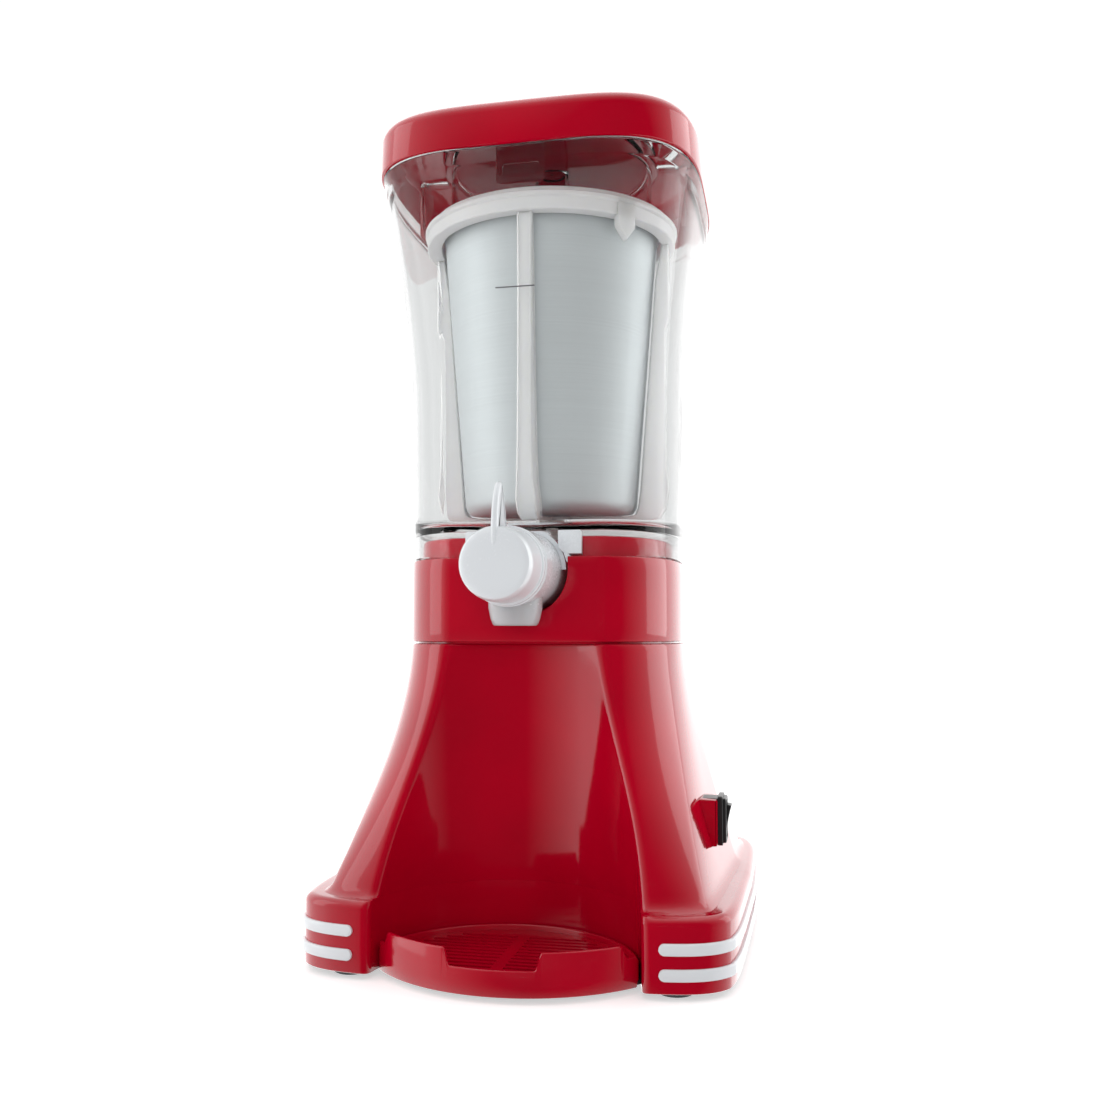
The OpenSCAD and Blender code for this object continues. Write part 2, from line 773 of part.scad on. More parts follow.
// Radius of the canister's outside at a height
function canister_r(z) =
    mixed(canister_foot_r, canister_top_r, (z - canister_z) / (canister_rim_z - canister_z));
canister_rim_z = 396;

module frame_arm(notch) {
    rotate([90, 0, 0]) translate([0, 0, -vane_t / 2]) linear_extrude(height = vane_t) polygon([
        [hub_r - 1, hub_z[0]], [60, hub_z[0]], [66.5, 236], [vane_out_r - 1, 250],
        [vane_out_r - notch, 262], [vane_out_r - notch, 340], [vane_out_r, 347],
        [vane_out_r, ring_z[0] + 1], [ring_in_r + 0.5, ring_z[0] + 1],
        [canister_r(388) + 1.2, 388], [canister_r(246) + 1.2, 246],
        [canister_foot_r + 0.5, 234], [canister_foot_r - 6, hub_z[1]], [hub_r - 1, hub_z[1]]
    ]);
}

module mixing_frame() {
    color(milky) at_drive() difference() {
        union() {
            tube(ring_out_r, ring_in_r, ring_z[0], 397);
            tube(ring_out_r + 1.2, ring_in_r + 0.4, 397, 400);
            tube(ring_out_r - 1.8, ring_in_r + 0.8, 400, ring_z[1]);
            rod(hub_r, hub_z[0], hub_z[1]);
            for (i = [0:arm_count - 1]) rotate([0, 0, 270 + i * 90])
                frame_arm(i % 2 == 0 ? 0 : 2.5);
            for (q = [315, 135]) rotate([0, 0, q])
                translate([ring_out_r - 3.5, 0, 0]) rotate([90, 0, 90])
                    linear_extrude(height = 3) polygon([[-5, 400], [-5, 384], [0, 377], [5, 384], [5, 400]]);
        }
        rod(spindle_r, hub_z[0] - 1, spindle_z[1] + 0.2);
    }
}

// ---------- tap ----------

plug_r = 15.9;
barrel_y = [-104.4, -46];
bore_end_y = -49;
plug_rear = -67;
knob_rear = -105;
knob_length = knob_face + knob_rear;
spout_y = -87.4;
spout_r = 13.7;
spout_bottom = 170;
inlet_boss_z = 218.6;
nut_r = 11.4;
nut_z = [215.9, 219.4];
knob_rear_r = 19.6;

module tap_body() {
    color(white) at_drive() difference() {
        union() {
            translate([0, 0, tap_z]) rod_y(barrel_r, barrel_y[0], barrel_y[1]);
            translate([0, spout_y, 0]) rod(spout_r, spout_bottom, tap_z);
            translate([0, nozzle_y, 0]) rod(nozzle_r + 2.6, tap_z, inlet_boss_z);
        }
        translate([0, 0, tap_z]) rod_y(plug_r + fit, barrel_y[0] - 1, bore_end_y);
        translate([0, spout_y, 0]) rod(spout_r - 1.8, spout_bottom - 1, tap_z - barrel_r + 1.5);
        translate([0, spout_y, 0]) rod(6, tap_z - barrel_r - 3, tap_z - plug_r + 4);
        translate([0, nozzle_y, 0]) rod(nozzle_bore_r, tap_z, inlet_boss_z + 1);
        translate([0, nozzle_y, 0]) rod(nozzle_r + 0.1, nozzle_z - 1.7, inlet_boss_z + 1);
        // Room for the nut round the inlet and over it
        translate([0, nozzle_y, 0]) {
            tube(nut_r + 0.15, nozzle_r + 2.6, nut_z[0] - 0.15, nut_z[1] + 1);
            rod(nut_r + 0.15, inlet_boss_z, nut_z[1] + 1);
        }
    }
}

bracket_y = [-70.1, -68.7];

// Plate with two ears that holds the tap behind the skirt
module tap_bracket() {
    color(white) at_drive() difference() {
        union() {
            box(-31, 31, bracket_y[0], bracket_y[1], 207, 218.4);
            translate([0, 0, tap_z]) rod_y(barrel_r + 2.4, bracket_y[0], bracket_y[1]);
        }
        translate([0, 0, tap_z]) rod_y(barrel_r + 0.02, -80, -60);
        box(-40, 40, -80, -60, tank_floor_z - floor_t - 0.3, 230);
        box(-40, 40, -80, -60, 150, 195);
    }
}

module tap_seal() {
    color([0.75, 0.76, 0.78]) at_drive() translate([0, nozzle_y, 0])
        tube(nozzle_r, nozzle_bore_r, nozzle_z - 1.6, nozzle_z - 0.02);
}

// Ring that locks the tap's inlet to the tank's nozzle
module tap_nut() {
    color(white) at_drive() translate([0, nozzle_y, 0]) difference() {
        rod(nut_r, nut_z[0], nut_z[1]);
        rod(nozzle_r + 2.62, nut_z[0] - 1, inlet_boss_z + 0.02);
        rod(nozzle_r + 0.02, 218, 221);
    }
}

// Hollow plug with a side port; shut at rest, open when the port faces down
module valve_plug() {
    color(white) at_drive() translate([0, 0, tap_z]) difference() {
        rod_y(plug_r, knob_rear + 0.02, plug_rear);
        rod_y(plug_r - 4, knob_rear + 5, plug_rear + 1);
        translate([0, spout_y, 0]) rotate([0, 90, 0]) cylinder(r = 5.5, h = 30);
    }
}

module tap_knob() {
    edge = 3;
    color(white) at_drive() translate([0, knob_rear, tap_z]) rotate([90, 0, 0]) rotate_extrude()
        polygon([[0, 0], [knob_rear_r, 0], [knob_rear_r, 3], [knob_r + 1, knob_length - 2 * edge],
            [knob_r, knob_length - edge], [knob_r - 1, knob_length - 1],
            [knob_r - edge, knob_length], [0, knob_length]]);
}

lever_top = 238.5;

// Thin upright blade along the top of the knob, tapered to its tip
module tap_lever() {
    half_t = 1.7;
    face = -knob_face;
    color(white) at_drive() translate([-half_t, 0, tap_z]) rotate([90, 0, 90])
        linear_extrude(height = 2 * half_t) difference() {
            polygon([[face + 0.2, 15], [face + 0.2, 20], [face + 1.4, 27], [face + 3.4, 33],
                [face + 6.6, 37.6], [face + 9, lever_top - tap_z], [face + 11.2, 37.6],
                [face + 14.4, 33], [face + 17, 27], [face + 18.6, 20.5], [face + 18.6, 15]]);
            // The knob's outline along its top
            polygon([[knob_rear + 1, 0], [knob_rear + 1, knob_rear_r + 0.02],
                [knob_rear - 3, knob_rear_r + 0.02], [face + 6, knob_r + 1.02],
                [face + 3, knob_r + 0.02], [face + 1, knob_r - 0.98], [face - 1, knob_r - 2],
                [face - 1, 0]]);
        }
}

// ---------- lid, insert, canister ----------

lid_front = 89.6;
lid_back = 104;
lid_power = 4;
lid_z0 = rim_z + 0.3;
lid_wall = 2.4;
lid_fillet = 8;

lid_shape = [lid_half_w, lid_front, lid_back, lid_power, lid_front];
function lid_ring(inset, z) = ring(outline(inset_shape(lid_shape, inset)), z);

module lid() {
    outer = [for (q = [0:15:90])
        lid_ring(lid_fillet * (1 - cos(q)), total_h - 0.8 - lid_fillet * (1 - sin(q)))];
    color(red) at_drive() ring_solid(concat(
        [lid_ring(lid_wall + 6, total_h - 5)],
        [lid_ring(lid_wall, total_h - 11), lid_ring(lid_wall, lid_z0), lid_ring(0.4, lid_z0)],
        outer,
        [lid_ring(30, total_h - 0.4), lid_ring(60, total_h)]
    ));
}

insert_top = total_h - 5.1;
collar_r = 59.5;

// Clear holder that hangs the canister from the lid
module lid_insert() {
    color(clear) at_drive() union() {
        rod(64, insert_top - 2, insert_top);
        tube(collar_r, collar_r - 2, 396.5, insert_top - 1);
        tube(canister_top_r - 2.2, collar_r - 2, 391, 397);
        tube(10, 8, 404, insert_top - 1);
        for (s = [-1, 1]) on_side(s) {
            box(58, 80, -4, 4, insert_top - 3, insert_top);
            box(77, 80, -9, 9, 404, insert_top);
        }
        box(-13, 13, -80, -77.8, 402, insert_top);
        box(-13, 13, -78.5, -58, insert_top - 2, insert_top);
    }
}

// Thin cup, closed below
module canister() {
    t = 1;
    foot_round = 9;
    color([0.78, 0.8, 0.82]) at_drive() rotate_extrude($fn = 96) polygon(concat(
        [[0, canister_z]],
        [for (q = [-90:15:0])
            [canister_foot_r - foot_round + foot_round * cos(q), canister_z + foot_round * (1 + sin(q))]],
        [[canister_r(canister_rim_z), canister_rim_z], [canister_top_r + 1.2, canister_rim_z],
            [canister_top_r + 1.2, canister_rim_z + 1.2], [canister_top_r - t, canister_rim_z + 1.2]],
        [for (q = [0:-15:-90])
            [canister_foot_r - foot_round + (foot_round - t) * cos(q),
                canister_z + foot_round + (foot_round - t) * sin(q)]],
        [[0, canister_z + t]]
    ));
}

// ---------- drip tray ----------

tray_back_r = 64.8;
tray_front_r = 85;
tray_floor_z = 5.6;
tray_rim_z = 15;
ear_z = 23;
tray_wall = 2.2;

// Plan of the tray: where the bay's circle and the front's circle overlap
module tray_plan(inset, z0, z1) {
    intersection() {
        at_bay() rod(tray_back_r - inset, z0, z1);
        translate([0, tray_front_r - tray_reach, 0]) rod(tray_front_r - inset, z0, z1);
    }
}

module drip_tray() {
    color(red) at_drive() union() {
        difference() {
            tray_plan(0, tray_floor_z, tray_rim_z);
            tray_plan(tray_wall, tray_floor_z + 2, tray_rim_z + 1);
        }
        // Front wall, lower than the floor and with an ear on each side
        difference() {
            tray_plan(0, plinth_wall_z, ear_z);
            translate([0, tray_front_r - tray_reach, 0])
                rod(tray_front_r - tray_wall, plinth_wall_z - 1, ear_z + 1);
            box(-20, 20, -140, -100, tray_rim_z, ear_z + 1);
            for (s = [-1, 1]) on_side(s) box(60, 70, -140, -90, 17, ear_z + 1);
        }
    }
}

grid_z = [10, 12.4];
rib_pitch = 5.2;

module drip_grid() {
    color(red) at_drive() difference() {
        union() {
            tray_plan(tray_wall + 0.5, grid_z[0], grid_z[1]);
            for (x = [-38, 38], y = [-102, -78])
                translate([x, y, 0]) rod(2.4, tray_floor_z + 2.02, grid_z[0] + 0.5);
        }
        for (i = [0:10], s = [-1, 1]) {
            y = -121 + i * rib_pitch;
            reach = min(sqrt(pow(tray_back_r - 7, 2) - pow(y + bay_centre_bottom, 2)),
                sqrt(pow(tray_front_r - 7, 2) - pow(y - tray_front_r + tray_reach, 2)));
            on_side(s) box(3, reach, y - 1.3, y + 1.3, grid_z[0] - 1, grid_z[1] + 1);
        }
    }
}

plinth();
lower_housing();
neck_housing();
base_plate();
base_screws();
neck_screws();
foot(foot_places[0]);  // foot_front_left
foot(foot_places[1]);  // foot_front_right
foot(foot_places[2]);  // foot_rear_left
foot(foot_places[3]);  // foot_rear_right
stripe(-1, stripe_z[1]);  // stripe_left_upper
stripe(-1, stripe_z[0]);  // stripe_left_lower
stripe(1, stripe_z[1]);  // stripe_right_upper
stripe(1, stripe_z[0]);  // stripe_right_lower
cord_bush();
switch_bezel();
switch_rocker();
switch_terminals();
motor_stack();
motor_coil();
motor_bracket(bracket_z[1]);  // motor_bracket_upper
motor_bracket(bracket_z[0]);  // motor_bracket_lower
motor_bolts();
rotor();
motor_shaft();
motor_pinion();
cooling_fan();
gearbox_case();
gearbox_cover();
gearbox_screws();
idler_pin();
idler_gear();
output_gear();
output_shaft();
output_bush();
drive_coupling();
tank();
shaft_bush();
tank_spindle();
driven_coupling();
mixing_frame();
tap_body();
tap_bracket();
tap_seal();
tap_nut();
valve_plug();
tap_knob();
tap_lever();
canister();
lid_insert();
lid();
drip_tray();
drip_grid();
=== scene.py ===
import json
import math

import bmesh
import bpy
import numpy as np
from bpy.props import FloatProperty, FloatVectorProperty, PointerProperty
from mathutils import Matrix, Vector


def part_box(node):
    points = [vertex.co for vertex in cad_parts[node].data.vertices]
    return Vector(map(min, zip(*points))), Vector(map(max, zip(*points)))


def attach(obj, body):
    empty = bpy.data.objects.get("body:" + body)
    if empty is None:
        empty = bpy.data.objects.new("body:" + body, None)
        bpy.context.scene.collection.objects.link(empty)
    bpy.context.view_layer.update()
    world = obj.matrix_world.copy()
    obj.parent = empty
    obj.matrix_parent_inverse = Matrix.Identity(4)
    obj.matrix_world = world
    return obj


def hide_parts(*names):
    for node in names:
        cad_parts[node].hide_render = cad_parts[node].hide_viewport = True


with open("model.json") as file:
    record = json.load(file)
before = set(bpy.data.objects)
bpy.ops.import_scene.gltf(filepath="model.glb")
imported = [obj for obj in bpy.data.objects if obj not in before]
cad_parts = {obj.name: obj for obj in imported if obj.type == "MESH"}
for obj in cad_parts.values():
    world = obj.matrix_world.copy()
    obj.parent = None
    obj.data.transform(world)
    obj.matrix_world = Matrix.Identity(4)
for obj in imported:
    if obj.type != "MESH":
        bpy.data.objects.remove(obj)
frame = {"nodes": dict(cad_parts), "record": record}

bl_info = {
    "name": "Slush Drink Machine",
    "version": (1, 0, 0),
    "blender": (4, 5, 0),
    "location": "3D View > Sidebar > Slush Machine",
    "description": "Builds a counter-top slush drink machine piece by piece",
    "category": "Add Mesh",
}

MM = 0.001


def box_mm(node):
    """Lowest and highest corner of a node, in millimetres."""
    low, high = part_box(node)
    return np.array(low) / MM, np.array(high) / MM


# ---------- where things are, in millimetres about the drive axis ----------

CAN_LOW, CAN_HIGH = box_mm("canister")
DRIVE = (CAN_LOW[1] + CAN_HIGH[1]) / 2
PLINTH_LOW, PLINTH_HIGH = box_mm("plinth")
PLINTH_BOTTOM, PLINTH_TOP = PLINTH_LOW[2], PLINTH_HIGH[2]
SEAM = box_mm("lower_housing")[1][2]
NECK_LOW, NECK_HIGH = box_mm("neck_housing")
NECK_HALF = NECK_HIGH[0]
NECK_FLAT = DRIVE - NECK_LOW[1]
NECK_BACK = NECK_HIGH[1] - DRIVE
RIM = box_mm("tank")[1][2]
SKIRT = 206.3
FLOOR = 222.6
FLOOR_UNDER = FLOOR - 3.0
TANK_WALL = 2.4
NOZZLE = (0.0, -57.0)
CAN_FOOT, CAN_MOUTH = 50.0, 63.0
BEZEL_DEPTH = 4.4
STRIPE_START = 73.8
STRIPE_END = 438.0 / 360.0 - 0.75
LID_LOW, LID_HIGH = box_mm("lid")
LID_HALF = LID_HIGH[0]
LID_FRONT = DRIVE - LID_LOW[1]
LID_BACK = LID_HIGH[1] - DRIVE
TAP_LOW, TAP_HIGH = box_mm("tap_knob")
TAP_Z = (TAP_LOW[2] + TAP_HIGH[2]) / 2
KNOB_FACE = TAP_LOW[1] - DRIVE
KNOB_REAR = TAP_HIGH[1] - DRIVE
BODY_LOW, BODY_HIGH = box_mm("tap_body")
BARREL_REAR = BODY_HIGH[1] - DRIVE
BARREL = BODY_HIGH[0]
SPOUT_FOOT = BODY_LOW[2]
KNOB_BACK_R = TAP_HIGH[0]
BAY = 66.0
BAY_BOTTOM = -117.0
BAY_TOP = -126.0

NECK = (NECK_HALF, NECK_FLAT + 5.7, NECK_BACK, 2.9, NECK_FLAT)
FOOT = (103.0, 107.0, 109.0, 7.0, 107.0)
PLINTH = (PLINTH_HIGH[0], 115.0, 115.0, 7.0, 115.0)
LID = (LID_HALF, LID_FRONT, LID_BACK, 4.0, LID_FRONT)


def mix(a, b, t):
    return a + (b - a) * t


def smooth(v):
    v = np.clip(v, 0.0, 1.0)
    return v * v * (3.0 - 2.0 * v)


def housing_shape(z):
    t = (max(0.0, SEAM - z) / (SEAM - PLINTH_TOP)) ** 1.45
    mixed = [mix(a, b, t) for a, b in zip(NECK, FOOT)]
    mixed[3] = mix(NECK[3], FOOT[3], t * t)
    return mixed


def column_path(z):
    """Outline of the flared housing at a height; its sides grow straighter towards the foot."""
    shape = housing_shape(z)
    share = (max(0.0, SEAM - z) / (SEAM - PLINTH_TOP)) ** 0.75 * 0.8
    corner = (0.914 * shape[0], -0.907 * shape[4])
    return straight_sides(plan(shape), corner, (shape[0], 24.0), share)


def bay_centre(z):
    return mix(BAY_BOTTOM, BAY_TOP, max(0.0, z - PLINTH_TOP) / (SEAM - PLINTH_TOP))


def tank_shape(z):
    a = NECK_HALF - 1.1 + 0.0225 * (z - SKIRT) + 0.0023 * max(0.0, z - 300.0) ** 1.75
    t = max(0.0, z - 300.0) / (RIM - 300.0)
    return (a, mix(a + 3.8, a, t), a + 15.0, mix(2.9, 3.8, t), mix(a - 1.8, a - 1.0, t))


def slimmer(shape, inset):
    return (shape[0] - inset, shape[1] - inset, shape[2] - inset, shape[3], shape[4] - inset)


# ---------- plan outlines ----------


def plan(shape, count=2880, start=-0.5 * math.pi, end=1.5 * math.pi):
    """Points round a rounded box with a flat front, from the front middle by the right side."""
    half, forward, back, square, flat = shape
    t = np.linspace(start, end, count + 1)
    c, s = np.cos(t), np.sin(t)
    x = half * np.sign(c) * np.abs(c) ** (2 / square)
    y = (back - forward) / 2 + (forward + back) / 2 * np.sign(s) * np.abs(s) ** (2 / square)
    return np.column_stack([x, np.maximum(y, -flat)])


def run(points):
    """Distance along an open path at each of its points."""
    return np.r_[0.0, np.cumsum(np.linalg.norm(np.diff(points, axis=0), axis=1))]


def even(points, count):
    """Points spaced evenly along an open path."""
    step = run(points)
    at = np.linspace(0.0, step[-1], count)
    return np.column_stack([np.interp(at, step, points[:, k]) for k in range(points.shape[1])])


def trimmed(points, first, last):
    """An open path with a length cut from each end."""
    step = run(points)
    ends = [first, step[-1] - last]
    keep = (step > ends[0] + 1e-6) & (step < ends[1] - 1e-6)
    tips = np.column_stack([np.interp(ends, step, points[:, k]) for k in range(2)])
    return np.vstack([tips[:1], points[keep], tips[1:]])


def straight_sides(points, corner, middle, amount=1.0):
    """Trims the front half of each side to a straight line from a corner to the side's middle."""
    share = (points[:, 1] - corner[1]) / (middle[1] - corner[1])
    line = mix(corner[0], middle[0], share)
    over = np.abs(points[:, 0]) - line
    cut = np.where((share > 0) & (share < 1) & (over > 0), over, 0.0) * amount
    return np.column_stack([points[:, 0] - np.sign(points[:, 0]) * cut, points[:, 1]])


def plinth_sides(points):
    return straight_sides(points, (105.2, -97.0), (PLINTH[0], 8.0), 0.5)


def ring_plan(shape, count=224):
    return even(plan(shape), count + 1)[:-1]


def circle(centre, radius, start, end, count):
    a = np.linspace(start, end, count)
    return np.column_stack([centre[0] + radius * np.cos(a), centre[1] + radius * np.sin(a)])


def bend(a, corner, b, count):
    """Points of a smooth turn from a to b, without its ends."""
    t = np.linspace(0.0, 1.0, count + 2)[1:-1, None]
    return (1 - t) ** 2 * a + 2 * t * (1 - t) * corner + t * t * b


def bay_plan(path, centre, edge, outer=230, turn=9, inner=56):
    """Closed plan with the cup bay in its front, and how far each point is from the bay, 0 to 1."""
    far = np.linalg.norm(path - np.array([0.0, centre]), axis=1) - BAY
    outside = np.nonzero(far > 0)[0]
    i, j = outside[0], outside[-1]
    right = path[i - 1] + (path[i] - path[i - 1]) * (-far[i - 1]) / (far[i] - far[i - 1])
    left = path[j] + (path[j + 1] - path[j]) * far[j] / (far[j] - far[j + 1])
    chain = trimmed(np.vstack([right, path[i:j + 1], left]), edge, edge)
    angle = math.atan2(right[1] - centre, right[0])
    arc = circle((0.0, centre), BAY, math.pi - angle, angle, 240)
    arc = trimmed(arc, edge, edge)
    points = np.vstack([
        even(chain, outer), bend(chain[-1], left, arc[0], turn),
        even(arc, inner), bend(arc[-1], right, chain[0], turn),
    ])
    ramp = np.linspace(1.0, 0.0, turn + 2)[1:-1]
    weight = np.concatenate([np.ones(outer), ramp, np.zeros(inner), ramp[::-1]])
    return points, weight


def inward(points, distance):
    """A closed plan moved in by a distance, one value or one for each point."""
    along = np.roll(points, -1, axis=0) - np.roll(points, 1, axis=0)
    along /= np.linalg.norm(along, axis=1)[:, None]
    out = np.column_stack([along[:, 1], -along[:, 0]])
    return points - out * np.broadcast_to(np.asarray(distance, float), len(points))[:, None]


def level(points, z):
    """A plan at a height, or at a height for each point."""
    return np.column_stack([points, np.broadcast_to(np.asarray(z, float), len(points))])


def stack(points, steps):
    """Rings of one plan, each moved in by a distance and put at a height."""
    return [level(inward(points, inset), z) for inset, z in steps]


def anticlockwise(points):
    area = np.sum(points[:, 0] * np.roll(points[:, 1], -1) - np.roll(points[:, 0], -1) * points[:, 1])
    return points[::-1] if area < 0 else points


# ---------- mesh tools ----------


def to_row(points):
    """Millimetres about the drive axis to metres in the row frame."""
    moved = np.array(points, float)
    moved[:, 1] += DRIVE
    return moved * MM


def add_loft(bm, rings, loop=False, first=True):
    """Skin through rings of points; either closed on itself, or capped at its ends."""
    rows = [[bm.verts.new(p) for p in to_row(ring)] for ring in rings]
    pairs = list(zip(rows, rows[1:])) + ([(rows[-1], rows[0])] if loop else [])
    for low, high in pairs:
        for k in range(len(low)):
            n = (k + 1) % len(low)
            bm.faces.new((low[k], low[n], high[n], high[k]))
    if first and not loop:
        bm.faces.new(rows[0][::-1])
    if not loop:
        bm.faces.new(rows[-1])


def add_lathe(bm, profile, loop=True, centre=(0.0, 0.0), axis="z", steps=120):
    """Turned solid: the profile is radius and distance along the axis. The axis runs up, or along y."""
    angle = np.linspace(0.0, 2 * math.pi, steps, endpoint=False)
    rings = []
    for radius, along in profile:
        a, b = radius * np.cos(angle), radius * np.sin(angle)
        flat = np.full(steps, float(along))
        if axis == "z":
            rings.append(np.column_stack([centre[0] + a, centre[1] + b, flat]))
        else:
            rings.append(np.column_stack([centre[0] + a, flat, centre[1] + b]))
    add_loft(bm, rings, loop=loop)


def add_prism(bm, plan_points, low, high, axis="z", soft=0.0):
    """Solid of a flat outline between two planes, with its rims eased by soft."""
    points = anticlockwise(np.array(plan_points, float))
    cuts = [(0.0, 1.0), (0.3, 0.3), (1.0, 0.0)] if soft else [(0.0, 0.0)]
    rings = [(inward(points, soft * b), low + soft * a) for a, b in cuts]
    rings += [(inward(points, soft * b), high - soft * a) for a, b in cuts[::-1]]
    order = {"z": (0, 1, 2), "y": (0, 2, 1), "x": (2, 0, 1)}[axis]
    add_loft(bm, [level(p, h)[:, order] for p, h in rings])


def rounded(x0, x1, y0, y1, radius, steps=6):
    """Outline of a rectangle with round corners."""
    corners = [(x1 - radius, y1 - radius, 0), (x0 + radius, y1 - radius, 1),
               (x0 + radius, y0 + radius, 2), (x1 - radius, y0 + radius, 3)]
    return np.vstack([circle((x, y), radius, q * math.pi / 2, (q + 1) * math.pi / 2, steps)
                      for x, y, q in corners])


def finish_piece(name, bm, body, slot_name, nodes=(), sharp=34, finish=None):
    """Turns a mesh in the making into a piece that rides on a body, in its slot's finish by default."""
    bmesh.ops.remove_doubles(bm, verts=bm.verts[:], dist=1e-7)
    bmesh.ops.recalc_face_normals(bm, faces=bm.faces[:])
    mesh = bpy.data.meshes.new(name)
    bm.to_mesh(mesh)
    bm.free()
    mesh.polygons.foreach_set("use_smooth", [True] * len(mesh.polygons))
    mesh.set_sharp_from_angle(angle=math.radians(sharp))
    piece = bpy.data.objects.new(name, mesh)
    bpy.context.scene.collection.objects.link(piece)
    mesh.materials.append(MATERIALS[finish or slot_name])
    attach(piece, body)
    if nodes:
        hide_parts(*nodes)
    return piece


def carve(piece, bm):
    """Cuts a solid out of a piece."""
    mesh = bpy.data.meshes.new("cutter")
    bmesh.ops.recalc_face_normals(bm, faces=bm.faces[:])
    bm.to_mesh(mesh)
    bm.free()
    cutter = bpy.data.objects.new("cutter", mesh)
    bpy.context.scene.collection.objects.link(cutter)
    cut = piece.modifiers.new("cut", "BOOLEAN")
    cut.object, cut.operation, cut.solver = cutter, "DIFFERENCE", "EXACT"
    graph = bpy.context.evaluated_depsgraph_get()
    made = bpy.data.meshes.new_from_object(piece.evaluated_get(graph))
    piece.modifiers.clear()
    piece.data = made
    bpy.data.objects.remove(cutter)
    made.set_sharp_from_angle(angle=math.radians(34))


# ---------- shared surface effects ----------

SKIN = ("Color", "Roughness", "Height")


def group(name, outputs, **inputs):
    """New node group with its input and output nodes; an input's kind follows its value."""
    tree = bpy.data.node_groups.new(name, "ShaderNodeTree")
    for label, value in inputs.items():
        kind = "NodeSocketColor" if isinstance(value, tuple) else "NodeSocketFloat"
        socket = tree.interface.new_socket(label.replace("_", " "), in_out="INPUT", socket_type=kind)
        socket.default_value = value
    for label in outputs:
        kind = "NodeSocketColor" if label == "Color" else "NodeSocketFloat"
        tree.interface.new_socket(label, in_out="OUTPUT", socket_type=kind)
    return tree, tree.nodes.new("NodeGroupInput"), tree.nodes.new("NodeGroupOutput")


def give(tree, end, **results):
    """Links the results to a group's outputs."""
    for label, value in results.items():
        tree.links.new(value, end.inputs[label])


def grey(value):
    return (value, value, value, 1.0)


def noise(tree, scale, detail=3.0, rough=0.5, stretch=(1.0, 1.0, 1.0)):
    """Noise over the piece, in metres, stretched as asked; its value, 0 to 1."""
    place = tree.nodes.new("ShaderNodeTexCoord")
    turn = tree.nodes.new("ShaderNodeMapping")
    turn.inputs["Scale"].default_value = stretch
    made = tree.nodes.new("ShaderNodeTexNoise")
    feed(tree, made.inputs["Scale"], scale)
    made.inputs["Detail"].default_value = detail
    made.inputs["Roughness"].default_value = rough
    tree.links.new(place.outputs["Object"], turn.inputs["Vector"])
    tree.links.new(turn.outputs["Vector"], made.inputs["Vector"])
    return made.outputs["Fac"]


def feed(tree, socket, value):
    """Sets a socket to a plain value, or links another socket to it."""
    if hasattr(value, "node"):
        tree.links.new(value, socket)
    else:
        socket.default_value = value


def spread(tree, value, low, high, out_low=0.0, out_high=1.0):
    """Maps part of a value's range to another range; the bounds may be sockets."""
    made = tree.nodes.new("ShaderNodeMapRange")
    tree.links.new(value, made.inputs["Value"])
    for label, bound in (("From Min", low), ("From Max", high), ("To Min", out_low), ("To Max", out_high)):
        feed(tree, made.inputs[label], bound)
    return made.outputs["Result"]


def sums(tree, kind, a, b):
    made = tree.nodes.new("ShaderNodeMath")
    made.operation = kind
    for k, value in enumerate((a, b)):
        feed(tree, made.inputs[k], value)
    return made.outputs[0]


def tint(tree, mask, a, b):
    """Colour between a and b by a mask; each is a socket or a colour."""
    made = tree.nodes.new("ShaderNodeMix")
    made.data_type = "RGBA"
    tree.links.new(mask, made.inputs["Factor"])
    feed(tree, made.inputs[6], a)
    feed(tree, made.inputs[7], b)
    return made.outputs[2]


def moulded_group():
    """Moulded plastic: slight cloudiness in the colour, uneven gloss and faint flow ripples."""
    tree, start, end = group(
        "Moulded Plastic", SKIN, Color=grey(0.5), Deep_Color=grey(0.4), Gloss_Low=0.1, Gloss_High=0.2,
        Ripple=0.2)
    cloud = noise(tree, 16.0, 2.0)
    fine = noise(tree, 900.0, 2.0)
    flow = noise(tree, 22.0, 2.0, 0.4)
    mask = spread(tree, cloud, 0.35, 0.65)
    colour = tint(tree, mask, start.outputs["Color"], start.outputs["Deep Color"])
    gloss = sums(tree, "MULTIPLY", cloud, 0.6)
    gloss = sums(tree, "ADD", gloss, sums(tree, "MULTIPLY", fine, 0.4))
    rough = spread(tree, gloss, 0.3, 0.7, start.outputs["Gloss Low"], start.outputs["Gloss High"])
    ripple = sums(tree, "MULTIPLY", flow, start.outputs["Ripple"])
    grain = sums(tree, "MULTIPLY", fine, 0.012)
    give(tree, end, Color=colour, Roughness=rough, Height=sums(tree, "ADD", ripple, grain))
    return tree


def scuff_group():
    """Fine hairline scuffs: a mask that is mostly nought, with thin bright strokes."""
    tree, start, end = group("Scuffs", ("Mask",), Amount=0.5)
    strokes = noise(tree, 60.0, 1.0, 0.5, (1.0, 1.0, 14.0))
    where = noise(tree, 9.0, 2.0)
    thin = spread(tree, strokes, 0.68, 0.74)
    spots = spread(tree, where, 0.5, 0.62)
    both = sums(tree, "MULTIPLY", thin, spots)
    give(tree, end, Mask=sums(tree, "MULTIPLY", both, start.outputs["Amount"]))
    return tree


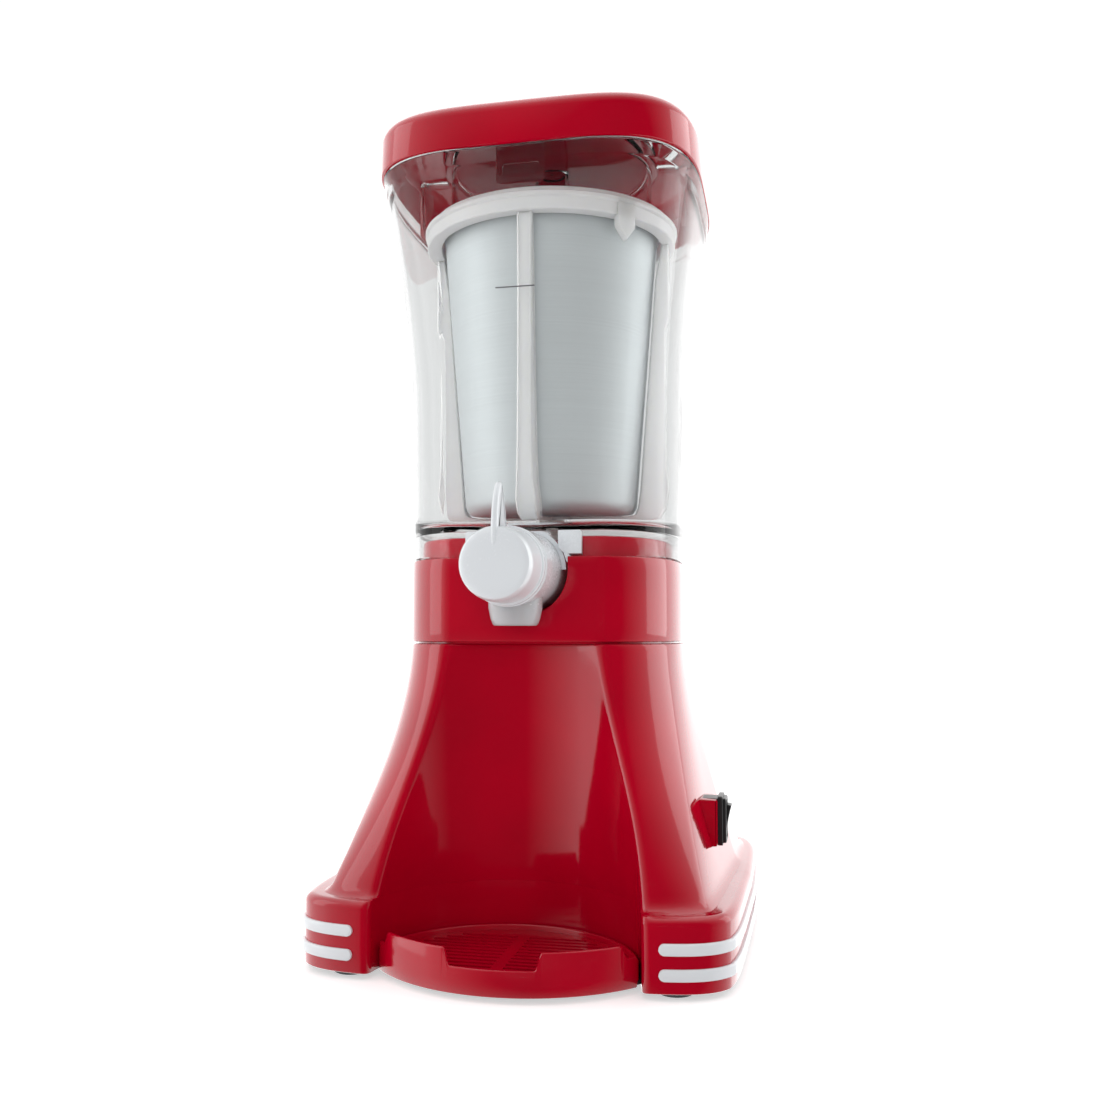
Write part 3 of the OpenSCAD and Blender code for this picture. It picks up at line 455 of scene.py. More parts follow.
def brushed_group():
    """Brushing that runs round the drive axis: fine lines stacked up the height."""
    tree, start, end = group("Brushed Round", SKIN, Color=grey(0.6), Line_Color=grey(0.5), Depth=0.5)
    lines = noise(tree, 1.0, 3.0, 0.6, (9.0, 9.0, 5200.0))
    bands = noise(tree, 1.0, 2.0, 0.5, (3.0, 3.0, 420.0))
    mask = spread(tree, lines, 0.3, 0.7)
    colour = tint(tree, mask, start.outputs["Color"], start.outputs["Line Color"])
    rough = sums(tree, "ADD", sums(tree, "MULTIPLY", mask, 0.05), sums(tree, "MULTIPLY", bands, 0.08))
    give(tree, end, Color=colour, Roughness=sums(tree, "ADD", rough, 0.5),
         Height=sums(tree, "MULTIPLY", mask, start.outputs["Depth"]))
    return tree


def grain_group():
    """Pebbled grain of rubber and cast metal, with paler high spots."""
    tree, start, end = group(
        "Pebble Grain", SKIN, Color=grey(0.1), Worn_Color=grey(0.2), Scale=900.0, Depth=0.5, Matt=0.6)
    pebbles = noise(tree, start.outputs["Scale"], 2.0)
    patches = noise(tree, 40.0, 3.0)
    worn = sums(tree, "MULTIPLY", spread(tree, pebbles, 0.55, 0.75),
                spread(tree, patches, 0.4, 0.7))
    colour = tint(tree, worn, start.outputs["Color"], start.outputs["Worn Color"])
    rough = sums(tree, "ADD", sums(tree, "MULTIPLY", patches, 0.2), start.outputs["Matt"])
    give(tree, end, Color=colour, Roughness=rough,
         Height=sums(tree, "MULTIPLY", pebbles, start.outputs["Depth"]))
    return tree


def drawn_group():
    """Strands that lie side by side: coil wire, or the edges of stacked sheets."""
    tree, start, end = group("Side By Side Strands", ("Color", "Height"), Color=grey(0.5),
                             Gap_Color=grey(0.1), Pitch=1200.0)
    place = tree.nodes.new("ShaderNodeTexCoord")
    parts = tree.nodes.new("ShaderNodeSeparateXYZ")
    tree.links.new(place.outputs["Object"], parts.inputs[0])
    phase = sums(tree, "MULTIPLY", parts.outputs["Z"], start.outputs["Pitch"])
    wave = sums(tree, "SINE", phase, 0.0)
    mask = spread(tree, wave, -0.9, 0.1)
    give(tree, end, Color=tint(tree, mask, start.outputs["Gap Color"], start.outputs["Color"]), Height=mask)
    return tree


EFFECTS = {}
MATERIALS = {}


def effect(tree, name, **values):
    """Places a shared effect in a material with its own values."""
    node = tree.nodes.new("ShaderNodeGroup")
    node.node_tree = EFFECTS[name]
    for label, value in values.items():
        node.inputs[label.replace("_", " ")].default_value = value
    return node


def new_material(name):
    material = bpy.data.materials.new(name)
    material.use_nodes = True
    tree = material.node_tree
    return material, tree, tree.nodes["Principled BSDF"]


def settle(shader, **values):
    """Sets plain values on a shader's own sockets."""
    for label, value in values.items():
        shader.inputs[label.replace("_", " ")].default_value = value


def wear(tree, shader, skin, distance, *outputs):
    """Feeds an effect's height, colour and other outputs into a shader."""
    node = tree.nodes.new("ShaderNodeBump")
    node.inputs["Distance"].default_value = distance
    node.inputs["Strength"].default_value = 1.0
    tree.links.new(skin.outputs["Height"], node.inputs["Height"])
    tree.links.new(node.outputs["Normal"], shader.inputs["Normal"])
    tree.links.new(skin.outputs["Color"], shader.inputs["Base Color"])
    for name in outputs:
        tree.links.new(skin.outputs[name], shader.inputs[name])


def four(colour, factor=1.0):
    return (colour[0] * factor, colour[1] * factor, colour[2] * factor, 1.0)


def gloss_plastic(name, colour, deep=0.86, low=0.06, high=0.12, ripple=0.35, coat=0.2, scuffs=0.25,
                  shine=0.3):
    """Bright moulded plastic under its own gloss skin, with a few hairline scuffs."""
    material, tree, shader = new_material(name)
    skin = effect(tree, "moulded", Color=four(colour), Deep_Color=four(colour, deep),
                  Gloss_Low=low, Gloss_High=high, Ripple=ripple)
    marks = effect(tree, "scuffs", Amount=scuffs)
    tree.links.new(sums(tree, "ADD", skin.outputs["Roughness"],
                        sums(tree, "MULTIPLY", marks.outputs["Mask"], 0.3)), shader.inputs["Roughness"])
    tree.links.new(spread(tree, marks.outputs["Mask"], 0.0, 1.0, coat, coat * 0.5),
                   shader.inputs["Coat Weight"])
    settle(shader, Coat_Roughness=0.04, Specular_IOR_Level=shine, IOR=1.5)
    wear(tree, shader, skin, 0.0006)
    return material


def clear_plastic(name, colour, rough=0.015, bending=1.2):
    """Clear moulded plastic with slight flow ripples."""
    material, tree, shader = new_material(name)
    skin = effect(tree, "moulded", Color=four(colour), Deep_Color=four(colour, 0.985),
                  Gloss_Low=rough, Gloss_High=rough * 2.2, Ripple=0.5)
    settle(shader, Transmission_Weight=1.0, IOR=bending)
    seen = tree.nodes.new("ShaderNodeLightPath")
    clear = sums(tree, "MAXIMUM", seen.outputs["Is Shadow Ray"], seen.outputs["Is Diffuse Ray"])
    tree.links.new(sums(tree, "SUBTRACT", 1.0, clear), shader.inputs["Alpha"])
    wear(tree, shader, skin, 0.0005, "Roughness")
    return material


def milky_plastic(name, colour, through=0.25, rough=0.32):
    """Natural milky plastic: part of the light goes through, the rest scatters."""
    material, tree, shader = new_material(name)
    skin = effect(tree, "moulded", Color=four(colour), Deep_Color=four(colour, 0.95),
                  Gloss_Low=rough, Gloss_High=rough + 0.1, Ripple=0.3)
    settle(shader, Transmission_Weight=through, IOR=1.45, Subsurface_Weight=0.5,
           Subsurface_Radius=(0.004, 0.004, 0.0045), Subsurface_Scale=1.0)
    wear(tree, shader, skin, 0.0004, "Roughness")
    return material


def brushed_metal(name, colour, depth=0.5):
    material, tree, shader = new_material(name)
    skin = effect(tree, "brushed", Color=four(colour), Line_Color=four(colour, 0.93), Depth=depth)
    settle(shader, Metallic=0.6)
    wear(tree, shader, skin, 0.000008, "Roughness")
    return material


def grained(name, colour, scale, depth, matt, metallic=0.0, worn=2.0):
    material, tree, shader = new_material(name)
    skin = effect(tree, "grain", Color=four(colour), Worn_Color=four(colour, worn),
                  Scale=scale, Depth=depth, Matt=matt)
    settle(shader, Metallic=metallic)
    wear(tree, shader, skin, 0.0001, "Roughness")
    return material


def stranded(name, colour, gap, pitch, metallic, rough):
    material, tree, shader = new_material(name)
    skin = effect(tree, "strands", Color=four(colour), Gap_Color=four(gap), Pitch=pitch)
    settle(shader, Metallic=metallic, Roughness=rough)
    wear(tree, shader, skin, 0.0002)
    return material


def make_materials(looks):
    """All the finishes, one for each material slot of the record."""
    EFFECTS.update(moulded=moulded_group(), scuffs=scuff_group(), brushed=brushed_group(),
                   grain=grain_group(), strands=drawn_group())
    red, white = looks.red, looks.white
    MATERIALS.update({
        "red_plastic": gloss_plastic("Red Housing Plastic", red),
        "lid_red": gloss_plastic("Red Lid Plastic", red, ripple=0.25),
        "tray_red": gloss_plastic("Red Tray Plastic", red, low=0.12, high=0.2, coat=0.15, scuffs=0.7),
        "stripe_white": gloss_plastic("White Stripe Plastic", white, deep=0.97, low=0.16, high=0.24,
                                      shine=0.5),
        "tap_white": gloss_plastic("White Tap Plastic", white, deep=0.97, low=0.2, high=0.3, shine=0.5),
        "clear_plastic": clear_plastic("Clear Tank Plastic", looks.clear),
        "milky_plastic": milky_plastic("Milky Frame Plastic", looks.milky),
        "insert": clear_plastic("Clear Insert Plastic", looks.clear, bending=1.15),
        "canister_metal": brushed_metal("Brushed Canister Metal", looks.metal),
        "switch_black": grained("Black Switch Plastic", (0.018, 0.018, 0.02), 1400.0, 0.4, 0.28, worn=1.6),
        "black_rubber": grained("Black Rubber", (0.02, 0.02, 0.021), 1100.0, 0.7, 0.6),
        "foot_rubber": grained("Grey Foot Rubber", (0.09, 0.095, 0.1), 1000.0, 0.7, 0.62, worn=1.7),
        "seal_rubber": grained("Grey Seal Rubber", (0.5, 0.52, 0.55), 1200.0, 0.4, 0.5, worn=1.2),
        "base_black": grained("Black Base Plastic", (0.03, 0.03, 0.032), 700.0, 1.0, 0.45, worn=1.8),
        "steel": grained("Turned Steel", (0.58, 0.59, 0.61), 1500.0, 0.3, 0.2, metallic=1.0, worn=1.15),
        "brass": grained("Sintered Brass", (0.72, 0.5, 0.2), 1800.0, 0.5, 0.25, metallic=1.0, worn=1.15),
        "lamination": stranded("Motor Laminations", (0.42, 0.43, 0.45), (0.1, 0.09, 0.08), 9000.0,
                               1.0, 0.38),
        "copper_coil": stranded("Enamelled Coil Wire", (0.65, 0.22, 0.07), (0.1, 0.02, 0.01), 7000.0,
                                0.9, 0.3),
        "grey_nylon": grained("Grey Gearbox Nylon", (0.16, 0.17, 0.18), 800.0, 0.8, 0.4, worn=1.4),
        "white_nylon": grained("White Gear Nylon", (0.78, 0.77, 0.72), 900.0, 0.4, 0.34, worn=1.05),
        "spout": milky_plastic("Milky Spout Plastic", white, through=0.45, rough=0.2),
        "fill_mark": gloss_plastic("Printed Fill Mark", (0.16, 0.16, 0.17), low=0.35, high=0.45, coat=0.1),
    })


# ---------- sizes and colours a user may change ----------


class SlushLooks(bpy.types.PropertyGroup):
    """Colours of the machine."""

    red: FloatVectorProperty(
        name="Red", description="Colour of the housings, lid and tray", subtype="COLOR",
        default=(0.5, 0.0, 0.016), min=0, max=1)
    white: FloatVectorProperty(
        name="White", description="Colour of the tap and the stripes", subtype="COLOR",
        default=(0.8, 0.83, 0.86), min=0, max=1)
    clear: FloatVectorProperty(
        name="Clear", description="Tint of the clear tank and insert", subtype="COLOR",
        default=(0.965, 0.975, 0.975), min=0, max=1)
    milky: FloatVectorProperty(
        name="Milky", description="Colour of the mixing frame", subtype="COLOR",
        default=(0.94, 0.95, 0.95), min=0, max=1)
    metal: FloatVectorProperty(
        name="Metal", description="Colour of the canister", subtype="COLOR",
        default=(0.68, 0.72, 0.73), min=0, max=1)


class SlushSizes(bpy.types.PropertyGroup):
    """Edge and detail sizes of the machine."""

    plinth_edge: FloatProperty(
        name="Plinth Edge", description="Rounding of the plinth's top edge",
        default=0.0042, min=0.002, max=0.006, unit="LENGTH", subtype="DISTANCE")
    bay_edge: FloatProperty(
        name="Bay Edge", description="Rounding of the upright edges at the cup bay",
        default=0.0045, min=0.002, max=0.007, unit="LENGTH", subtype="DISTANCE")
    lid_edge: FloatProperty(
        name="Lid Edge", description="Rounding of the lid's top edge",
        default=0.008, min=0.006, max=0.012, unit="LENGTH", subtype="DISTANCE")
    stripe_height: FloatProperty(
        name="Stripe Height", description="Height of each white stripe",
        default=0.0055, min=0.004, max=0.007, unit="LENGTH", subtype="DISTANCE")
    fill_height: FloatProperty(
        name="Fill Mark Height", description="Height of the fill mark above the table",
        default=0.347, min=0.3, max=0.38, unit="LENGTH", subtype="DISTANCE")


def quarter(radius, steps=6):
    """Inset and drop of a rounded edge, from its side to its top."""
    a = np.linspace(0.0, math.pi / 2, steps + 1)
    return [(radius * (1 - math.cos(q)), radius * (1 - math.sin(q))) for q in a]


class SLUSH_OT_plinth(bpy.types.Operator):
    """Low plinth with the cup bay in its front"""

    bl_idname = "slush.plinth"
    bl_label = "Plinth"

    def execute(self, context):
        sizes = context.scene.slush_sizes
        edge = sizes.plinth_edge / MM
        points, weight = bay_plan(plinth_sides(plan(PLINTH)), BAY_BOTTOM, sizes.bay_edge / MM)
        rings = stack(points, [(0.7 * weight, PLINTH_BOTTOM), (0.2 * weight, PLINTH_BOTTOM + 0.3),
                               (0.0, PLINTH_BOTTOM + 0.9), (0.0, PLINTH_BOTTOM + 12)])
        rings += stack(points, [(inset * weight, PLINTH_TOP - drop) for inset, drop in quarter(edge, 8)])
        bm = bmesh.new()
        add_loft(bm, rings, first=False)
        add_loft(bm, stack(points, [(2.6, PLINTH_BOTTOM), (2.6, PLINTH_TOP - 2.4)]), first=False)
        finish_piece("plinth_shell", bm, "base", "red_plastic", ["plinth"])
        return {"FINISHED"}


class SLUSH_OT_column(bpy.types.Operator):
    """Flared lower housing over the bay, with the switch frame on its right"""

    bl_idname = "slush.column"
    bl_label = "Lower Housing"

    def execute(self, context):
        edge = context.scene.slush_sizes.bay_edge / MM
        rings = []
        foot = [(PLINTH_TOP + rise, out) for rise, out in ((0.02, 2.6), (0.6, 1.5), (1.6, 0.7), (3.0, 0.2))]
        upright = [(z, 0.0) for z in np.linspace(PLINTH_TOP + 4.5, SEAM - 1.2, 44)]
        for z, out in foot + upright:
            points, weight = bay_plan(column_path(z), bay_centre(z), edge)
            rings.append(level(inward(points, -out * weight), z))
        points = bay_plan(column_path(SEAM), bay_centre(SEAM), edge)[0]
        rings += stack(points, [(0.3, SEAM - 0.35), (1.1, SEAM)])
        bm = bmesh.new()
        add_loft(bm, rings)
        centre, half = -30.0, 11.0
        face = box_mm("switch_bezel")[1][0] - BEZEL_DEPTH
        side = [(80.0, 80.4), (87.5, 80.3), (face - 0.6, 79.9), (face, 79.2), (face, 57.0),
                (face - 0.6, 56.2), (88.0, 55.8)]
        add_prism(bm, side, centre - half, centre + half, axis="y", soft=1.0)
        finish_piece("column_housing", bm, "base", "red_plastic",
                     ["lower_housing"])
        return {"FINISHED"}


class SLUSH_OT_neck(bpy.types.Operator):
    """Neck with the stepped deck that the tank sits on, notched for the tap"""

    bl_idname = "slush.neck"
    bl_label = "Neck"

    def execute(self, context):
        low, step, deck, well = NECK_LOW[2], SKIRT - 0.6, NECK_HIGH[2], 13.6
        outer = ring_plan(NECK)
        inner = ring_plan(slimmer(NECK, 5.2))
        rings = stack(outer, [(3.2, SEAM + 0.02), (3.2, low), (1.0, low), (0.3, low + 0.3)])
        rings += stack(outer, [(0.0, z) for z in np.linspace(low + 1.2, step - 1.0, 8)])
        rings += stack(outer, [(0.3, step - 0.3), (1.0, step)])
        rings += stack(inner, [(0.0, step), (0.0, deck - 1.6), (0.5, deck - 0.5), (1.6, deck)])
        angle = np.arctan2(inner[:, 1], inner[:, 0])
        hole = np.column_stack([well * np.cos(angle), well * np.sin(angle)])
        rings += [level(hole, deck), level(hole, deck - 13.0)]
        bm = bmesh.new()
        add_loft(bm, rings)
        piece = finish_piece("neck_shell", bm, "base", "red_plastic",
                             ["neck_housing"])
        notch = 24.0
        turn = circle((0.0, TAP_Z), notch, math.pi, 2 * math.pi, 49)
        shape = np.vstack([[(-notch, deck + 20)], turn, [(notch, deck + 20)]])
        cutter = bmesh.new()
        add_prism(cutter, shape, -120.0, -43.0, axis="y")
        carve(piece, cutter)
        return {"FINISHED"}


class SLUSH_OT_stripes(bpy.types.Operator):
    """White stripes round the plinth, two on each side"""

    bl_idname = "slush.stripes"
    bl_label = "Stripes"

    def execute(self, context):
        half = context.scene.slush_sizes.stripe_height / MM / 2
        path, out, scale = self.band(half)
        section = [(-0.3, -1.0), (0.8, -1.0), (1.3, -0.86), (1.5, -0.6), (1.5, 0.6), (1.3, 0.86),
                   (0.8, 1.0), (-0.3, 1.0)]
        for name, side in (("left", -1.0), ("right", 1.0)):
            for row_name in ("upper", "lower"):
                node = f"stripe_{name}_{row_name}"
                low, high = box_mm(node)
                middle, far_back = (low[2] + high[2]) / 2, high[1] - DRIVE
                rings = [np.array([(side * (p[0] + o[0] * d), min(p[1] + o[1] * d, far_back),
                                    middle + half * h * s) for d, h in section])
                         for p, o, s in zip(path, out, scale)]
                bm = bmesh.new()
                add_loft(bm, rings)
                finish_piece(node + "_band", bm, "base", "stripe_white", [node])
        return {"FINISHED"}

    def band(self, half):
        """Middle line of a stripe, its outward directions, and its height along the line, 0 to 1."""
        path = plinth_sides(plan(PLINTH, 4000))
        front = np.nonzero(path[:, 0] >= STRIPE_START)[0][0]
        path = even(path[front:int(len(path) * STRIPE_END)], 2400)
        length = run(path)
        tip = half * (1 - np.cos(np.linspace(0.0, math.pi / 2, 8)))
        stations = np.concatenate([tip, np.linspace(half, length[-1] - half, 190)[1:-1],
                                   length[-1] - tip[::-1]])
        path = np.column_stack([np.interp(stations, length, path[:, k]) for k in range(2)])
        along = np.gradient(path, axis=0)
        along /= np.linalg.norm(along, axis=1)[:, None]
        ends = np.minimum(stations, stations[-1] - stations)
        scale = np.sqrt(np.clip(1 - (1 - np.clip(ends / half, 0, 1)) ** 2, 0.01, 1))
        return path, np.column_stack([along[:, 1], -along[:, 0]]), scale


class SLUSH_OT_feet(bpy.types.Operator):
    """Four rubber feet with a dished sole"""

    bl_idname = "slush.feet"
    bl_label = "Feet"

    def execute(self, context):
        for node in ("foot_front_left", "foot_front_right", "foot_rear_left", "foot_rear_right"):
            low, high = box_mm(node)
            centre = ((low[0] + high[0]) / 2, (low[1] + high[1]) / 2 - DRIVE)
            bm = bmesh.new()
            add_lathe(bm, [(0.01, 0.5), (5.2, 0.5), (6.0, 0.0), (8.0, 0.0), (8.7, 0.4), (9.0, 1.1),
                           (9.0, 2.3), (8.6, 2.9), (8.0, 3.2), (3.0, 3.2), (3.0, 5.5), (4.2, 5.6),
                           (4.2, 6.8), (3.4, 7.4), (0.01, 7.4)], loop=False, centre=centre, steps=48)
            finish_piece(node + "_pad", bm, "base", "foot_rubber", [node])
        return {"FINISHED"}


class SLUSH_OT_switch(bpy.types.Operator):
    """Black power switch: a stepped frame and its rocker"""

    bl_idname = "slush.switch"
    bl_label = "Power Switch"

    def execute(self, context):
        low, high = box_mm("switch_bezel")
        face, out = high[0] - BEZEL_DEPTH, high[0]
        middle = ((low[1] + high[1]) / 2 - DRIVE, (low[2] + high[2]) / 2)

        steps = [(face + 0.05, 9, 12.6, 1.2), (face + 2.3, 9, 12.6, 1.2), (face + 2.6, 8.7, 12.3, 1.1),
                 (face + 2.6, 7.6, 11.5, 1.0), (out - 0.35, 7.5, 11.4, 1.0), (out, 7.1, 11.0, 0.9),
                 (out, 5.6, 10.3, 0.5), (out - 0.4, 5.1, 9.9, 0.4), (face - 8, 5.1, 9.9, 0.4),
                 (face - 8, 6.9, 11.3, 0.6), (face + 0.05, 6.9, 11.3, 0.6)]
        rings = []
        for x, half_y, half_z, radius in steps:
            ring = rounded(middle[0] - half_y, middle[0] + half_y, middle[1] - half_z,
                           middle[1] + half_z, radius)
            rings.append(np.column_stack([np.full(len(ring), x), ring]))
        bm = bmesh.new()
        add_loft(bm, rings, loop=True)
        finish_piece("switch_frame", bm, "base", "switch_black", ["switch_bezel"])

        pivot, tilt = face + 0.2, math.radians(10.0)
        dish = [(5.3 - 0.5 * math.cos(math.pi / 2 * k / 8.4), k) for k in np.linspace(-8.2, 8.2, 15)]
        side = [(-3.6, -4.6), (3.4, -8.6), (4.8, -8.6)] + dish + [(4.8, 8.6), (3.4, 8.6), (-3.6, 4.6)]
        turned = [(pivot + x * math.cos(tilt) + z * math.sin(tilt),
                   middle[1] - x * math.sin(tilt) + z * math.cos(tilt)) for x, z in side]
        bm = bmesh.new()
        add_prism(bm, turned, middle[0] - 4.6, middle[0] + 4.6, axis="y", soft=0.35)
        finish_piece("switch_key", bm, "power_switch", "switch_black",
                     ["switch_rocker"])
        return {"FINISHED"}


class SLUSH_OT_tank(bpy.types.Operator):
    """Clear tank: skirt arched over the tap, floor with its shaft hole, flared walls and rim"""

    bl_idname = "slush.tank"
    bl_label = "Tank"

    def execute(self, context):
        count, arch = 320, 23.2
        base = ring_plan(tank_shape(SKIRT), count)
        lift = np.where((base[:, 1] < 0) & (np.abs(base[:, 0]) < arch),
                        TAP_Z + np.sqrt(np.clip(arch ** 2 - base[:, 0] ** 2, 0, None)), 0.0)
        bottom = np.minimum(np.maximum(SKIRT, lift), FLOOR_UNDER - 0.6)

        def shell(inset, z):
            heights = np.broadcast_to(z, count)
            return level(inward(ring_plan(tank_shape(float(np.mean(heights))), count), inset), heights)

        rings = [shell(0.4, bottom), shell(0.0, bottom + 0.4)]
        rings += [shell(0.0, mix(bottom + 0.4, np.full(count, FLOOR), t)) for t in (0.35, 0.7, 1.0)]
        rings += [shell(0.0, z) for z in np.linspace(232, 300, 7)[:-1]]
        rings += [shell(0.0, z) for z in np.linspace(300, RIM - 9.4, 16)]
        rings += [shell(inset, z) for inset, z in (
            (-0.6, RIM - 8.7), (-0.8, RIM - 8.0), (-0.8, RIM - 0.6), (-0.3, RIM),
            (TANK_WALL - 0.5, RIM), (TANK_WALL, RIM - 0.6))]
        rings += [shell(TANK_WALL, z) for z in np.linspace(407, 300, 14)]
        rings += [shell(TANK_WALL, z) for z in np.linspace(300, FLOOR + 5, 7)[1:]]
        rings += [shell(TANK_WALL + 0.5, FLOOR + 2.2), shell(TANK_WALL + 2.0, FLOOR + 0.5),
                  shell(TANK_WALL + 5.0, FLOOR)]
        plan_in = ring_plan(tank_shape(FLOOR), count)
        angle = np.arctan2(plan_in[:, 1], plan_in[:, 0])
        spoke = np.column_stack([np.cos(angle), np.sin(angle)])
        rings += [level(spoke * radius, z) for radius, z in (
            (11, FLOOR), (11, FLOOR + 1.2), (7.55, FLOOR + 1.2), (7.55, FLOOR_UNDER))]
        rings += [shell(TANK_WALL + 1.5, FLOOR_UNDER), shell(TANK_WALL, FLOOR_UNDER - 0.5),
                  shell(TANK_WALL, bottom + 0.4), shell(TANK_WALL - 0.4, bottom)]
        bm = bmesh.new()
        add_loft(bm, rings, loop=True)
        add_lathe(bm, [(4.6, FLOOR_UNDER - 0.05), (6.4, FLOOR_UNDER - 0.05), (6.4, 214.0), (5.9, 213.5),
                       (4.9, 213.5), (4.6, 213.8)], centre=NOZZLE, steps=48)
        finish_piece("tank_shell", bm, "tank_assembly", "clear_plastic",
                     ["tank"], sharp=40)

        z = context.scene.slush_sizes.fill_height / MM
        front = -tank_shape(z)[4]
        bm = bmesh.new()
        add_prism(bm, rounded(-13.6, 7.5, z - 0.35, z + 0.35, 0.3), front - 0.14, front - 0.02, axis="y")
        finish_piece("fill_mark", bm, "tank_assembly", "switch_black", finish="fill_mark")
        return {"FINISHED"}


class SLUSH_OT_lid(bpy.types.Operator):
    """Red lid, hollow below, with a rounded top edge and a slight crown"""

    bl_idname = "slush.lid"
    bl_label = "Lid"

    def execute(self, context):
        edge = context.scene.slush_sizes.lid_edge / MM
        low, top = LID_LOW[2], LID_HIGH[2]
        outer = ring_plan(LID)
        shoulder = top - 0.8
        rings = stack(outer, [(2.4, top - 11), (2.4, low + 0.4), (2.0, low), (0.6, low),
                              (0.15, low + 0.25), (0.0, low + 0.9)])
        rings += stack(outer, [(inset, shoulder - drop) for inset, drop in quarter(edge, 10)])
        for share, rise in ((0.8, 0.2), (0.6, 0.45), (0.35, 0.7), (0.12, 0.8)):
            rings.append(level(inward(outer, edge) * share, shoulder + rise))
        bm = bmesh.new()
        add_loft(bm, rings, first=False)
        add_loft(bm, stack(outer, [(2.4, top - 11), (4.0, top - 6.6), (8.4, top - 5)]), first=False)
        finish_piece("lid_cover", bm, "lid_assembly", "lid_red", ["lid"], sharp=40)
        return {"FINISHED"}


class SLUSH_OT_insert(bpy.types.Operator):
    """Clear holder under the lid: disc, collar, plug ring, hub, side legs and front tab"""

    bl_idname = "slush.insert"
    bl_label = "Lid Insert"

    def execute(self, context):
        low, high = box_mm("lid_insert")
        top, foot = high[2], low[2]
        bm = bmesh.new()
        add_lathe(bm, [(57.5, foot + 0.4), (57.9, foot), (60.3, foot), (60.8, foot + 0.5), (60.8, 396.6),
                       (60.3, 397.2), (59.5, 398.0), (59.5, top - 2.6), (60.1, top - 2.0), (63.5, top - 2.0),
                       (64.0, top - 1.6), (64.0, top - 0.4), (63.6, top), (0.6, top), (0.6, top - 2.0),
                       (7.4, top - 2.0), (8.0, top - 2.6), (8.0, 404.4), (8.4, 404.0), (9.6, 404.0),
                       (10.0, 404.4), (10.0, top - 2.6), (10.6, top - 2.0), (56.9, top - 2.0),
                       (57.5, top - 2.6)], steps=144)
        for side in (-1.0, 1.0):
            bar = rounded(*sorted((side * 64.2, side * 80.0)), -4.0, 4.0, 1.0)
            add_prism(bm, bar, top - 3, top, soft=0.4)
            leg = rounded(-9.0, 9.0, 404.0, top - 0.1, 3.0)
            add_prism(bm, leg, *sorted((side * 77.2, side * 79.9)), axis="x", soft=0.5)
        add_prism(bm, rounded(-13.0, 13.0, 402.0, top, 3.0), -80.0, -77.8, axis="y", soft=0.5)
        add_prism(bm, rounded(-10.0, 10.0, 406.0, 414.0, 2.0), -77.7, -76.4, axis="y", soft=0.4)
        add_prism(bm, rounded(-13.0, 13.0, -77.6, -64.2, 1.0), top - 2, top, soft=0.4)
        finish_piece("insert_holder", bm, "lid_assembly", "clear_plastic", ["lid_insert"], sharp=40,
                     finish="insert")
        return {"FINISHED"}


class SLUSH_OT_canister(bpy.types.Operator):
    """Brushed metal ice canister, a thin tapered cup with a rolled rim"""

    bl_idname = "slush.canister"
    bl_label = "Canister"

    def execute(self, context):
        low, high = CAN_LOW[2], CAN_HIGH[2]
        foot, mouth, rim, wall, turn = CAN_FOOT, CAN_MOUTH, 64.2, 1.0, 9.0
        corner = [(foot - turn + turn * math.sin(q), low + turn * (1 - math.cos(q)))
                  for q in np.linspace(0.0, math.pi / 2, 9)]
        inside = [(foot - turn + (turn - wall) * math.sin(q), low + turn - (turn - wall) * math.cos(q))
                  for q in np.linspace(math.pi / 2, 0.0, 9)]
        rise = np.linspace(low + turn + 4, high - 4, 12)

        def radius(z):
            return mix(foot, mouth, (z - low - turn) / (high - 1.2 - low - turn))

        profile = [(0.01, low + 0.8), (36.0, low + 0.8), (37.2, low)] + corner
        profile += [(radius(z), z) for z in rise]
        profile += [(mouth, high - 2.0), (rim - 0.4, high - 1.5), (rim, high - 0.9),
                    (rim - 0.2, high - 0.25), (rim - 0.8, high), (mouth - 0.4, high - 0.1), (mouth - wall, high - 0.7)]
        profile += [(radius(z) - wall, z) for z in rise[::-1]]
        profile += inside + [(37.2, low + wall), (36.0, low + 1.8), (0.01, low + 1.8)]
        bm = bmesh.new()
        add_lathe(bm, profile, loop=False, steps=160)
        finish_piece("ice_canister", bm, "lid_assembly", "canister_metal",
                     ["canister"], sharp=40)
        return {"FINISHED"}


